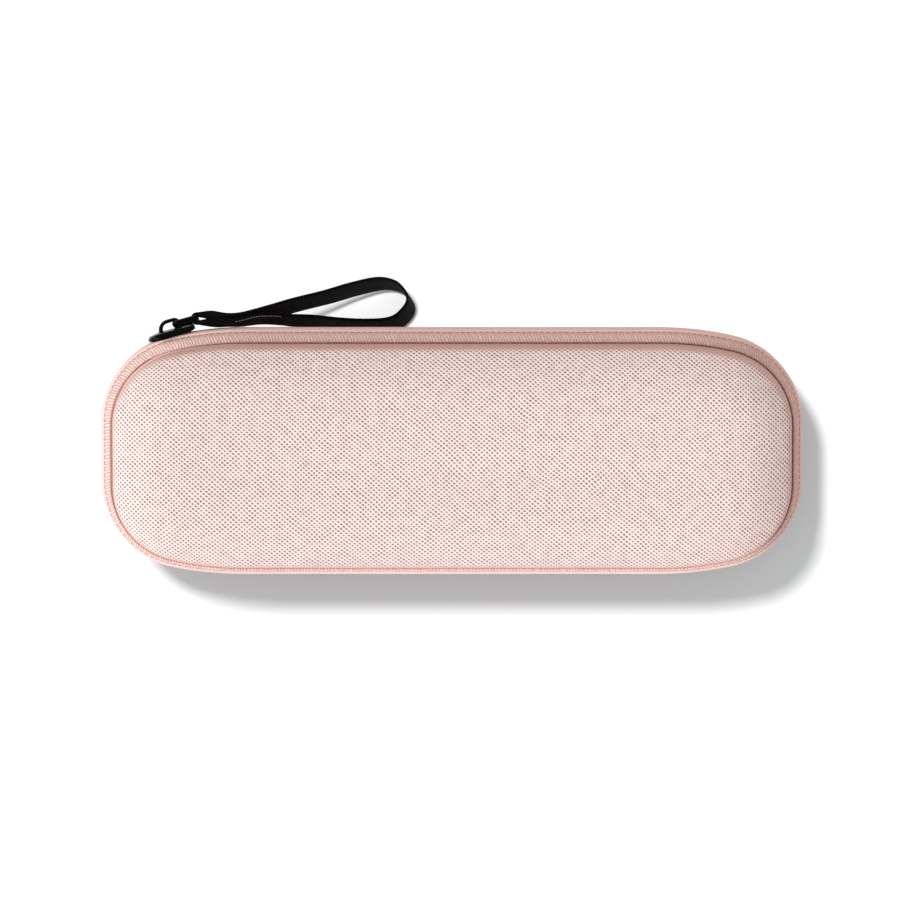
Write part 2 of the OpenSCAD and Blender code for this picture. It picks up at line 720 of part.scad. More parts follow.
base_cover();
base_shell();
base_lining();
base_binding();
lower_tape();
lower_coil();
end_stops();
hinge_strip();
handle_band();
neck_band();
lid_cover();
lid_shell();
lid_lining();
lid_binding();
upper_tape();
upper_coil();
pocket_net();
pocket_elastic();
slider_body();
slider_bridge();
pull_ring();
wrist_strap();
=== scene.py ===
import bmesh
import bpy
import math
import numpy as np
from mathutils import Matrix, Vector


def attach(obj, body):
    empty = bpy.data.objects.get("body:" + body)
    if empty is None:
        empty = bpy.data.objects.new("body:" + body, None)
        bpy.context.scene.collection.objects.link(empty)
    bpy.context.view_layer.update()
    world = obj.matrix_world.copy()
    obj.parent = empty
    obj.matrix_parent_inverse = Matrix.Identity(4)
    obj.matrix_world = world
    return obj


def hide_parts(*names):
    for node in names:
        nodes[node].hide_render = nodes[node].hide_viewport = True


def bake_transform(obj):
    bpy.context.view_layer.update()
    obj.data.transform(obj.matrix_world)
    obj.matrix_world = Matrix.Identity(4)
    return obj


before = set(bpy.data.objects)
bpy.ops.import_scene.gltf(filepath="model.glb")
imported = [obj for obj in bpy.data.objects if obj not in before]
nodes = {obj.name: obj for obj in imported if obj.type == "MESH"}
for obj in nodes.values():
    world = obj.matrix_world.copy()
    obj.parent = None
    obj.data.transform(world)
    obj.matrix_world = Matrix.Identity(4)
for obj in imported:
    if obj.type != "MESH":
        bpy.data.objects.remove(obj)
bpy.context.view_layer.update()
MM = 0.001
TURN = 2 * math.pi


def cos_deg(a):
    return math.cos(math.radians(a))


def sin_deg(a):
    return math.sin(math.radians(a))


# ------------------------------ sizes of the CAD model, in mm
# Half length, half width and half height; the plan has a tight and a long arc in each corner
END_X, SIDE_Y, HALF_H = 115.0, 40.5, 25.0
CORNER_R, BLEND_R, SINE, COSINE = 29.0, 111.0, 9 / 41, 40 / 41
# The moulded halves lie this much nearer to the hinge side than the zip
SHIFT = 0.9
# Moulded halves: rim inside the zip line and over it, draft of the wall, layers, rounded edges
RIM_INSET, RIM_RISE, DRAFT = 3.7, 7.9, 4.0
COVER_T, FOAM_T, LINING_T = 0.6, 4.0, 0.5
EDGE_R, SHOULDER_R, EDGE_SLOPE, CROWN_SLOPE = 4.0, 30.0, 35.0, 12.0
# Zip: tape, coil, the open stretch and the parked slider's direction
TAPE_T, TAPE_FOLD, GROOVE_W, TAPE_EDGE = 0.8, 1.5, 0.4, 0.6
COIL_T, COIL_HEEL, COIL_REACH = 1.05, 3.9, 0.8
OPEN_GAP, ZIP_END_GAP, CLOSING_RUN = 1.9, 6.0, 18.0
SLIDER_AT = 105.5
SEAT = 0.05
CORNER_STEPS = 9
TIGHT_X = END_X - CORNER_R
TIGHT_Y = SIDE_Y - BLEND_R + (BLEND_R - CORNER_R) * COSINE
LONG_X = TIGHT_X - (BLEND_R - CORNER_R) * SINE
LONG_Y = SIDE_Y - BLEND_R
BLEND = math.degrees(math.asin(SINE))
JOIN = 90 - BLEND
LONG_LEN = math.radians(BLEND) * BLEND_R
TIGHT_LEN = math.radians(JOIN) * CORNER_R
TO_LONG = LONG_X
TO_TIGHT = TO_LONG + LONG_LEN
TO_END = TO_TIGHT + TIGHT_LEN
TO_BACK = TO_END + 2 * TIGHT_Y
TO_LAST = TO_BACK + TIGHT_LEN
TO_STRAIGHT = TO_LAST + LONG_LEN
HALF_LOOP = TO_STRAIGHT + LONG_X
ZIP_HALF = TO_STRAIGHT - ZIP_END_GAP
LINING_AT, INSIDE_AT = COVER_T + FOAM_T, COVER_T + FOAM_T + LINING_T
# Depth of a straight step of the CAD tape inside its arc
STEP_SAG = CORNER_R * (1 - cos_deg(JOIN / CORNER_STEPS / 2))
# Half length of the line that the moulded skins close over
SPINE_X = 79


def path(d):
    """Centre, radius and normal of the zip line at distance d from the middle of the front."""
    side = 1.0 if d >= 0 else -1.0
    d = abs(d)
    if d < TO_LONG:
        x, y, r, a = d, LONG_Y, BLEND_R, 90.0
    elif d < TO_TIGHT:
        x, y, r, a = LONG_X, LONG_Y, BLEND_R, 90 - math.degrees((d - TO_LONG) / BLEND_R)
    elif d < TO_END:
        x, y, r, a = TIGHT_X, TIGHT_Y, CORNER_R, JOIN - math.degrees((d - TO_TIGHT) / CORNER_R)
    elif d < TO_BACK:
        x, y, r, a = TIGHT_X, TIGHT_Y - (d - TO_END), CORNER_R, 0.0
    elif d < TO_LAST:
        x, y, r, a = TIGHT_X, -TIGHT_Y, CORNER_R, -math.degrees((d - TO_BACK) / CORNER_R)
    elif d < TO_STRAIGHT:
        x, y, r, a = LONG_X, -LONG_Y, BLEND_R, -JOIN - math.degrees((d - TO_LAST) / BLEND_R)
    else:
        x, y, r, a = LONG_X - (d - TO_STRAIGHT), -LONG_Y, BLEND_R, -90.0
    n = np.array([side * cos_deg(a), sin_deg(a)])
    return np.array([side * x, y]), r, n


SLIDER_D = -(TO_END - math.radians(180 - SLIDER_AT) * CORNER_R)
OPEN_FROM, OPEN_FULL = SLIDER_D + 2.6, SLIDER_D - 2.5
SHUT_FROM = -ZIP_HALF + CLOSING_RUN


def smooth(t):
    t = np.clip(t, 0.0, 1.0)
    return t * t * (3 - 2 * t)


def stand_off(d):
    """How far a coil stands off the middle of the zip at distance d."""
    return float(OPEN_GAP * smooth((OPEN_FROM - d) / (OPEN_FROM - OPEN_FULL))
                 * smooth((d + ZIP_HALF) / (SHUT_FROM + ZIP_HALF)))


def loop_samples(straight=6.0, tight=1.3, long_arc=3.0, ends=3.4):
    """Distances round the whole loop, with a step for each kind of stretch."""
    marks = [(0, TO_LONG, straight), (TO_LONG, TO_TIGHT, long_arc), (TO_TIGHT, TO_END, tight),
             (TO_END, TO_BACK, ends), (TO_BACK, TO_LAST, tight), (TO_LAST, TO_STRAIGHT, long_arc),
             (TO_STRAIGHT, HALF_LOOP, straight)]
    right = []
    for a, b, step in marks:
        n = max(1, int(round((b - a) / step)))
        right += [a + (b - a) * i / n for i in range(n)]
    left = [-d for d in right[1:]][::-1]
    return np.array([-HALF_LOOP] + left + right)


# ------------------------------ meshes
def link(name, verts, faces, mat, body, uv=None, replaces=()):
    """Makes a mesh piece. uv is one pair for each face corner, in mm."""
    me = bpy.data.meshes.new(name)
    me.from_pydata([tuple(float(c) * MM for c in v) for v in verts], [], faces)
    if uv is not None:
        layer = me.uv_layers.new(name="cloth")
        layer.data.foreach_set("uv", np.asarray(uv, np.float32).ravel())
    me.materials.append(mat)
    me.polygons.foreach_set("use_smooth", [True] * len(me.polygons))
    me.update()
    ob = bpy.data.objects.new(name, me)
    bpy.context.scene.collection.objects.link(ob)
    tidy(ob)
    if body:
        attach(ob, body)
    if replaces:
        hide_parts(*replaces)
    return ob


def tidy(ob, gap=1e-7):
    """Merges doubled points, drops empty faces and turns all faces outward."""
    bm = bmesh.new()
    bm.from_mesh(ob.data)
    bmesh.ops.remove_doubles(bm, verts=bm.verts, dist=gap)
    bmesh.ops.dissolve_degenerate(bm, dist=gap, edges=bm.edges)
    bmesh.ops.recalc_face_normals(bm, faces=bm.faces)
    bm.to_mesh(ob.data)
    bm.free()
    ob.data.update()


def grid(P, uv, closed):
    """Faces of a grid of points P[u][v] that wraps along v, and along u closes or has two caps.

    uv[u][v] has one more column, and where it closes one more row.
    """
    P = np.asarray(P, float)
    nu, nv = P.shape[:2]
    faces, corners = [], []
    for i in range(nu if closed else nu - 1):
        for j in range(nv):
            i2, j2 = (i + 1) % nu, (j + 1) % nv
            faces.append((i * nv + j, i2 * nv + j, i2 * nv + j2, i * nv + j2))
            if uv is not None:
                corners += [uv[i][j], uv[i + 1][j], uv[i + 1][j + 1], uv[i][j + 1]]
    if not closed:
        faces.append(tuple(range(nv)))
        faces.append(tuple((nu - 1) * nv + j for j in range(nv))[::-1])
        if uv is not None:
            corners += [uv[0][j] for j in range(nv)] + [uv[nu - 1][j] for j in range(nv)][::-1]
    return P.reshape(-1, 3), faces, (corners if uv is not None else None)


def tube(points, radius, sides=8, closed=False):
    """Round tube along points, in mm."""
    pts = np.asarray(points, float)
    n = len(pts)
    if closed:
        tang = np.roll(pts, -1, 0) - np.roll(pts, 1, 0)
    else:
        tang = np.gradient(pts, axis=0)
    tang /= np.linalg.norm(tang, axis=1)[:, None]
    ref = np.array([0.0, 0.0, 1.0]) if abs(tang[0][2]) < 0.9 else np.array([1.0, 0.0, 0.0])
    side = np.cross(tang[0], ref)
    side /= np.linalg.norm(side)
    rings = []
    for i in range(n):
        side = side - tang[i] * side.dot(tang[i])
        side /= np.linalg.norm(side)
        up = np.cross(side, tang[i])
        rings.append([pts[i] + radius * (math.cos(TURN * k / sides) * side
                                         + math.sin(TURN * k / sides) * up) for k in range(sides)])
    return np.array(rings)


def link_grid(name, P, UV, mat, body, replaces=(), closed=False):
    """Makes one piece of a grid of points."""
    v, f, c = grid(P, UV, closed)
    return link(name, v, f, mat, body, uv=c, replaces=replaces)


def link_threads(name, lines, radius, sides, mat, body, replaces=()):
    """Makes one piece of thin round threads, one along each line of points."""
    verts, faces, base = [], [], 0
    for line in lines:
        v, f, _ = grid(tube(line, radius, sides), None, False)
        verts.append(v)
        faces += [tuple(k + base for k in face) for face in f]
        base += len(v)
    link(name, np.concatenate(verts), faces, mat, body, replaces=replaces)


# ------------------------------ materials
class Nodes:
    """A material and short ways to add nodes to it."""

    def __init__(self, name):
        self.mat = bpy.data.materials.new(name)
        self.mat.use_nodes = True
        self.tree = self.mat.node_tree
        self.tree.nodes.clear()
        self.bsdf = self.node("BsdfPrincipled")
        self.put(self.node("OutputMaterial").inputs[0], self.bsdf.outputs[0])

    def put(self, socket, value):
        if isinstance(value, bpy.types.NodeSocket):
            self.tree.links.new(value, socket)
        else:
            socket.default_value = value

    def node(self, kind, **values):
        """A new node, with values or links for its named inputs."""
        n = self.tree.nodes.new("ShaderNode" + kind)
        for k, v in values.items():
            self.put(n.inputs[k.replace("_", " ")], v)
        return n

    def math(self, op, a, b=0.0, c=0.0):
        n = self.node("Math")
        n.operation = op
        for s, v in zip(n.inputs, (a, b, c)):
            self.put(s, v)
        return n.outputs[0]

    def times(self, a, b):
        return self.math("MULTIPLY", a, b)

    def scaled(self, a, factor, add):
        return self.math("MULTIPLY_ADD", a, factor, add)

    def xyz(self, vector):
        n = self.node("SeparateXYZ")
        self.tree.links.new(vector, n.inputs[0])
        return n.outputs

    def uv(self):
        n = self.node("UVMap")
        n.uv_map = "cloth"
        parts = self.xyz(n.outputs[0])
        return parts[0], parts[1], n.outputs[0]

    def place(self):
        return self.node("TexCoord").outputs["Object"]

    def noise(self, vector, scale, detail=3.0, rough=0.5):
        return self.node("TexNoise", Vector=vector, Scale=scale, Detail=detail, Roughness=rough).outputs[0]

    def ramp(self, value, low, high):
        """From 0 at low to 1 at high, eased at both ends."""
        n = self.node("MapRange", Value=value, From_Min=low, From_Max=high)
        n.interpolation_type = "SMOOTHSTEP"
        return n.outputs[0]

    def mix(self, factor, a, b):
        n = self.node("Mix")
        n.data_type = "RGBA"
        self.put(n.inputs[0], factor)
        self.put(n.inputs[6], a if isinstance(a, bpy.types.NodeSocket) else (*a, 1.0))
        self.put(n.inputs[7], b if isinstance(b, bpy.types.NodeSocket) else (*b, 1.0))
        return n.outputs[2]

    def bump(self, height, strength, distance):
        return self.node("Bump", Height=height, Strength=strength, Distance=distance).outputs[0]

    def finish(self, color, rough, normal, **plain):
        """Ties colour, roughness and bump to the shader and sets its plain values."""
        self.tree.links.new(color, self.bsdf.inputs["Base Color"])
        self.put(self.bsdf.inputs["Roughness"], rough)
        self.tree.links.new(normal, self.bsdf.inputs["Normal"])
        for k, v in plain.items():
            self.bsdf.inputs[k.replace("_", " ")].default_value = v
        return self.mat


def linear(r, g, b):
    """A screen colour, 0 to 255, as linear light."""
    def one(c):
        c /= 255.0
        return c / 12.92 if c <= 0.04045 else ((c + 0.055) / 1.055) ** 2.4
    return one(r), one(g), one(b)


def lattice(m, u, v, uv, pitch, row):
    """Two crossing sets of waves, a little out of true. Gives one set and the gaps, 1 in a gap."""
    drift = m.scaled(m.noise(uv, 0.10, 2.0), 1.1, -0.55)
    wave = m.scaled(m.noise(uv, 0.055, 1.0), 2.4, -1.2)
    shake = m.scaled(m.noise(uv, 0.8, 2.0), 0.9, -0.45)
    across = m.math("DIVIDE", m.math("ADD", u, drift), pitch)
    along = m.math("DIVIDE", m.math("ADD", v, wave), 2 * row)
    down = m.math("COSINE", m.scaled(m.math("ADD", across, along), TURN, shake))
    back = m.times(shake, -0.7)
    up = m.math("COSINE", m.scaled(m.math("SUBTRACT", across, along), TURN, back))
    threads = m.scaled(down, 0.55, m.times(up, 0.45))
    uneven = m.scaled(m.noise(uv, 0.33, 3.0), 0.9, -0.43)
    return down, m.ramp(m.math("SUBTRACT", threads, uneven), 0.05, 0.80)


# Painted shade for steep walls and a painted highlight for the rim's lip
STEEP_WALL_PAINTED_SHADE, RIM_PAINTED_HIGHLIGHT = (0.75, 0.46, 0.395), (1.0, 0.80, 0.73)


def woven(name, light, bright, dark, pitch=1.75, row=0.77, depth=0.00030):
    """Basket weave: dark gaps between pale threads, closed up on steep walls and at the rim. Steep walls
    carry painted shade and the rim's lip a painted highlight.
    """
    m = Nodes(name)
    u, v, uv = m.uv()
    down, gap = lattice(m, u, v, uv, pitch, row)
    facing = m.node("NewGeometry").outputs["True Normal"]
    level = m.ramp(m.math("ABSOLUTE", m.xyz(facing)[2]), 0.24, 0.80)
    gap = m.times(gap, m.scaled(level, 0.5, 0.5))
    height_mm = m.math("ABSOLUTE", m.scaled(m.xyz(m.place())[2], 1000.0, -HALF_H))
    rim = m.ramp(height_mm, RIM_RISE + 1.45, RIM_RISE + 1.15)
    gap = m.times(gap, m.math("SUBTRACT", 1.0, rim))
    # The bright strokes along one set of threads are a painted highlight on their crowns
    stroke = m.ramp(down, -0.15, -0.95)
    stroke = m.times(stroke, m.ramp(m.noise(uv, 0.6, 2.0), 0.30, 0.62))
    fibre = m.noise(uv, 5.0, 3.0, 0.7)
    tone = m.noise(uv, 0.03, 3.0)
    pale = m.mix(m.times(tone, 0.35), light, tuple(c * 0.90 for c in light))
    pale = m.mix(m.times(stroke, 0.75), pale, bright)
    pale = m.mix(m.scaled(fibre, 0.30, -0.08), pale, tuple(c * 0.86 for c in light))
    # Painted shade: steep walls are mixed towards a darker, deeper rose
    pale = m.mix(m.times(m.math("SUBTRACT", 1.0, level), 0.75), pale, STEEP_WALL_PAINTED_SHADE)
    # Painted highlight: the rim's lip is mixed towards a paler colour
    pale = m.mix(rim, pale, RIM_PAINTED_HIGHLIGHT)
    color = m.mix(gap, pale, dark)
    fuzz = m.scaled(stroke, 0.25, m.times(fibre, 0.12))
    normal = m.bump(m.scaled(gap, -1.0, fuzz), 0.6, depth)
    rough = m.scaled(gap, 0.08, 0.84)
    return m.finish(color, rough, normal, Sheen_Weight=0.18, Sheen_Roughness=0.45,
                    Sheen_Tint=(1.0, 0.92, 0.88, 1.0), Specular_IOR_Level=0.22)


# The two groove colours are painted shade; the darker one is a painted shadow for the side away from the
# key lamp
GROOVE_PAINTED_SHADE, SHADED_SIDE_GROOVE_PAINTED_SHADOW, SEWN_TINT = (0.60, 0.34, 0.30), (0.16, 0.045, 0.03), (0.66, 0.40, 0.35)


def twill(name, light, bright, dark, pitch=1.02, zone=None, seam=None, sewn=None):
    """Zip tape: short slanted strokes, the ribs with their highlight and shade painted into the colour.

    zone, seam and sewn are places across the tape, in mm: where the strokes are strong,
    where the groove beside the moulded half begins and ends, and where the coil is sewn on.
    Between the seam places the colour is painted shade, darker on the side away from the key lamp.
    """
    slant, depth, plain = 0.42, 0.00035, 0.25
    m = Nodes(name)
    u, v, _ = m.uv()
    at = m.place()
    fine = m.noise(at, 1100.0, 2.0)
    wide = m.noise(at, 240.0, 2.0)
    shake = m.scaled(fine, 6.0, m.scaled(wide, 7.0, -6.5))
    turns = m.scaled(v, slant, m.times(u, 1 / pitch))
    rib = m.math("COSINE", m.scaled(turns, TURN, shake))
    amount = plain
    if zone:
        inside = m.times(m.ramp(v, zone[0], zone[0] + 0.5), m.ramp(v, zone[1], zone[1] - 0.6))
        amount = m.scaled(inside, 1.0 - plain, plain)
    patch = m.ramp(m.noise(at, 520.0, 2.0), 0.36, 0.60)
    # The lit and low strokes are the twill's ribs with a painted highlight and painted shade
    lit = m.times(m.times(m.ramp(rib, 0.35, 0.95), patch), amount)
    low = m.times(m.ramp(rib, -0.1, -0.9), amount)
    fibre = m.noise(at, 5200.0, 3.0, 0.7)
    pale = m.mix(m.scaled(fibre, 0.5, -0.1), light, tuple(c * 0.86 for c in light))
    pale = m.mix(lit, pale, bright)
    color = m.mix(m.times(low, 0.6), pale, dark)
    # Painted shade in the groove: darker towards +x and +y, where the lid shades it from the key lamp
    if seam:
        spot = m.xyz(at)
        side = m.scaled(spot[0], 6.5, m.times(spot[1], 16.5))
        groove_painted_shade = m.mix(m.ramp(side, -0.05, 0.2), GROOVE_PAINTED_SHADE, SHADED_SIDE_GROOVE_PAINTED_SHADOW)
        color = m.mix(m.ramp(v, seam[0], seam[1]), color, groove_painted_shade)
    if sewn:
        line = m.times(m.ramp(v, sewn[0], sewn[0] + 0.4), m.ramp(v, sewn[1], sewn[1] - 0.4))
        color = m.mix(m.times(line, 0.5), color, SEWN_TINT)
    height = m.scaled(low, -1.0, m.times(lit, 0.5))
    normal = m.bump(height, 0.9, depth)
    return m.finish(color, 0.86, normal, Sheen_Weight=0.15, Sheen_Roughness=0.5, Specular_IOR_Level=0.2)


def ribbed(name, color, pitch, lift, spec=0.25, sheen=0.12):
    """Grosgrain webbing or elastic: ribs across, small threads along, with rib tops painted paler as a
    painted highlight.
    """
    m = Nodes(name)
    u, v, uv = m.uv()
    fine = m.noise(uv, 2.2, 3.0)
    rib = m.math("COSINE", m.times(m.scaled(fine, 0.12, u), TURN / pitch))
    warp = m.math("COSINE", m.times(v, TURN / 0.42))
    height = m.scaled(warp, 0.35, rib)
    tone = m.noise(uv, 0.25, 3.0)
    # Rib tops are mixed to a paler colour by lift: a painted highlight on the ribs
    top = m.ramp(height, -0.2, 1.2)
    shade = m.mix(m.times(top, m.scaled(tone, 0.9, 0.2)), color,
                  tuple(min(1.0, c * lift + 0.002) for c in color))
    normal = m.bump(height, 0.5, 0.00018)
    rough = m.scaled(top, -0.1, 0.72)
    return m.finish(shade, rough, normal, Sheen_Weight=sheen, Sheen_Roughness=0.4, Specular_IOR_Level=spec)


def brushed_cloth(name, color, scale=1.0):
    """Short-napped lining: soft mottling and fine loops."""
    m = Nodes(name)
    at = m.place()
    nap = m.noise(at, 2600 * scale, 4.0, 0.7)
    cloud = m.noise(at, 60 * scale, 3.0)
    shade = m.mix(m.scaled(nap, 0.5, m.scaled(cloud, 0.5, -0.2)),
                  color, tuple(min(1.0, c * 1.5) for c in color))
    normal = m.bump(nap, 0.6, 0.0003)
    return m.finish(shade, 0.92, normal, Sheen_Weight=0.4, Sheen_Roughness=0.6, Specular_IOR_Level=0.2)


def plastic(name, color, rough, grain, bump):
    """Matt plastic, thread or foam, by its grain and bump."""
    vary = 0.12
    m = Nodes(name)
    at = m.place()
    fine = m.noise(at, grain, 3.0)
    cloud = m.noise(at, grain * 0.06, 2.0)
    shade = m.mix(cloud, tuple(c * (1 - vary) for c in color),
                  tuple(min(1.0, c * (1 + vary)) for c in color))
    normal = m.bump(fine, bump, 0.00008)
    return m.finish(shade, m.scaled(fine, 0.15, rough), normal, Specular_IOR_Level=0.5)


def black_paint(name):
    """Black plating on zinc: satin, with thin wear where edges rub; the paler edges are also a painted
    highlight.
    """
    m = Nodes(name)
    at = m.place()
    fine = m.noise(at, 1500.0, 4.0)
    cloud = m.noise(at, 220.0, 3.0)
    edge = m.node("NewGeometry").outputs["Pointiness"]
    # Paler on sharp edges: partly wear, partly a painted highlight
    edge_wear_and_highlight = m.times(m.ramp(edge, 0.56, 0.66), m.ramp(cloud, 0.45, 0.7))
    shade = m.mix(m.times(edge_wear_and_highlight, 0.4), (0.002, 0.002, 0.0022), (0.08, 0.075, 0.07))
    normal = m.bump(fine, 0.12, 0.00006)
    rough = m.scaled(cloud, 0.16, 0.20)
    return m.finish(shade, rough, normal, Specular_IOR_Level=0.05)


ROSE = (0.845, 0.725, 0.70)
cover_mat = woven("woven_rose_cloth", ROSE, (0.93, 0.87, 0.84), (0.30, 0.19, 0.175))
tape_mat = twill("zip_tape_twill", (0.93, 0.71, 0.665), (0.97, 0.83, 0.79), (0.70, 0.43, 0.38),
                 zone=(11.4, 15.9), seam=(10.8, 10.4), sewn=(15.2, 16.7))
hinge_mat = twill("hinge_tape_twill", (0.90, 0.71, 0.68), (0.95, 0.85, 0.82), (0.50, 0.25, 0.22))
binding_mat = twill("binding_twill", (0.70, 0.53, 0.49), (0.80, 0.66, 0.62), (0.34, 0.17, 0.15), pitch=0.8)
coil_mat = plastic("nylon_coil", linear(186, 160, 150), 0.38, grain=700.0, bump=0.1)
stop_mat = plastic("nylon_stop", linear(178, 150, 140), 0.35, grain=500.0, bump=0.2)
thread_mat = plastic("sewing_thread", linear(214, 184, 176), 0.7, grain=2500.0, bump=0.5)
seam_mat = plastic("seam_thread", linear(176, 126, 116), 0.7, grain=2500.0, bump=0.5)
foam_mat = plastic("pressed_foam", linear(205, 196, 192), 0.9, grain=1800.0, bump=0.6)
lining_mat = brushed_cloth("brushed_lining", linear(150, 146, 147))
net_mat = brushed_cloth("knitted_net", linear(96, 92, 94), 1.6)
elastic_mat = ribbed("black_elastic", (0.014, 0.014, 0.015), pitch=0.9, lift=3.5)
strap_mat = ribbed("black_webbing", (0.0014, 0.0014, 0.0014), pitch=0.6, spec=0.07, sheen=0.012, lift=1.6)
stitch_mat = plastic("grey_stitches", linear(176, 174, 170), 0.75, grain=3000.0, bump=0.4)
dark_stitch_mat = plastic("black_stitches", (0.03, 0.03, 0.032), 0.7, grain=3000.0, bump=0.4)
paint_mat = black_paint("black_plated_zinc")


# ------------------------------ moulded halves
def arc_from(start, r, a0, a1, n):
    """Points of an arc that begins at a given point, without that point."""
    out = []
    for i in range(1, n + 1):
        a = a0 + (a1 - a0) * i / n
        out.append((start[0] + r * (cos_deg(a) - cos_deg(a0)), start[1] + r * (sin_deg(a) - sin_deg(a0))))
    return out


def skin(depth, slope):
    """Section of a half from rim to middle: outward place and height over the zip, in mm."""
    edge_r, shoulder_r = max(EDGE_R - depth, 0.6), SHOULDER_R - depth
    lean, fall = math.tan(math.radians(DRAFT)), math.tan(math.radians(slope / 2))
    low, mid, high = DRAFT, 90 - EDGE_SLOPE, 90 - slope
    foot = -RIM_INSET - depth / cos_deg(DRAFT)
    edge_wide, edge_tall = edge_r * (cos_deg(mid) - cos_deg(low)), edge_r * (sin_deg(mid) - sin_deg(low))
    wide = foot + edge_wide + shoulder_r * (cos_deg(high) - cos_deg(mid)) + CORNER_R
    tall = HALF_H - depth - edge_tall - shoulder_r * (sin_deg(high) - sin_deg(mid))
    top = (tall - fall * (wide + RIM_RISE * lean)) / (1 - fall * lean)
    wall = [(foot - (h - RIM_RISE) * lean, h) for h in np.linspace(RIM_RISE, top, 5)[1:]]
    edge = arc_from((foot - (top - RIM_RISE) * lean, top), edge_r, low, mid, 8)
    shoulder = arc_from(edge[-1], shoulder_r, mid, high, 9)
    last = shoulder[-1]
    if slope > 0:
        crown = arc_from(last, (last[0] + CORNER_R) / sin_deg(slope), high, 90, 5)
    else:
        crown = [(-CORNER_R + (last[0] + CORNER_R) * k / 3, last[1]) for k in (2, 1, 0)]
    return [(foot, RIM_RISE)] + wall + edge + shoulder + crown


def skin_surface(profile, d_values, up):
    """Sweeps a section round the loop and closes it over the middle. Gives points and uv."""
    profile = np.array(profile)
    seg = np.hypot(*np.diff(profile, axis=0).T)
    from_mid = np.concatenate([np.cumsum(seg[::-1])[::-1], [0]])
    extra = from_mid - (CORNER_R + profile[:, 0])
    P, UV = [], []
    for d in d_values:
        c, r, n = path(d)
        row, tex = [], []
        for (out, h), e in zip(profile, extra):
            xy = c + (r + out) * n
            row.append((xy[0], xy[1] - SHIFT, HALF_H + up * h))
            tex.append(xy + n * e)
        ring = c + (r - CORNER_R) * n
        spine = np.array([np.clip(ring[0], -SPINE_X, SPINE_X), 0.0])
        for t in (1 / 3, 2 / 3, 1.0):
            xy = ring * (1 - t) + spine * t
            row.append((xy[0], xy[1] - SHIFT, HALF_H + up * profile[-1][1]))
            tex.append(xy)
        P.append(row)
        UV.append(tex)
    UV.append(UV[0])
    return np.array(P), np.array(UV)


def rolled_rim(outer, thick, lip):
    """The outer face with a rolled rim; lip is how far the wall draws in over the rim."""
    foot, rise = outer[0]
    rim = [(foot - thick * 0.9, rise + 0.02), (foot - 0.3, rise), (foot - 0.12, rise + 0.10),
           (foot - 0.02, rise + 0.40), (foot - 0.04, rise + 0.85), (foot - 0.16, rise + 1.10),
           (foot - 0.05 - lip, rise + 1.30)]
    return rim + [(o - lip * max(0.0, 1 - (h - rise) / 12), h) for o, h in outer[1:]]


def half_skin(name, depth, thick, slope, up, mat, body, node, lip=0.0):
    """A closed skin: outer face and inner face, with a rolled rim where it has a lip."""
    outer = skin(depth, slope)
    inner = skin(depth + thick, slope)
    if lip:
        outer = rolled_rim(outer, thick, lip)
    ds = loop_samples()
    P1, UV1 = skin_surface(outer, ds, up)
    P2, UV2 = skin_surface(inner, ds, up)
    P = np.concatenate([P1, P2[:, ::-1]], axis=1)
    UV = np.concatenate([UV1, UV2[:, ::-1]], axis=1)
    UV = np.concatenate([UV, UV[:, :1]], axis=1)
    link_grid(name, P, UV, mat, body, (node,), closed=True)


# The lid's cloth is flatter than its foam: the CAD's crown gave a bright streak in the light
CLOTH_SLOPE, LIP = 6.5, 0.28
half_skin("lid_woven_cover", 0.0, COVER_T, CLOTH_SLOPE, 1, cover_mat, "lid", "lid_cover", LIP)
half_skin("base_woven_cover", 0.0, COVER_T, 0.0, -1, cover_mat, "base", "base_cover", LIP)
half_skin("lid_napped_lining", LINING_AT, LINING_T, CROWN_SLOPE, 1, lining_mat, "lid", "lid_lining")
half_skin("base_napped_lining", LINING_AT, LINING_T, 0.0, -1, lining_mat, "base", "base_lining")


# ------------------------------ zip tapes
LEG_TOP = RIM_RISE - SEAT
LEG_LOW = LEG_TOP - TAPE_T + SEAT
FOLD_AT = -RIM_INSET + GROOVE_W - 0.02
FOLD_TOP = RIM_RISE + TAPE_FOLD
TAPE_IN = -TAPE_T
COIL_OUT = TAPE_IN - STEP_SAG - SEAT
COIL_IN = COIL_OUT - COIL_T


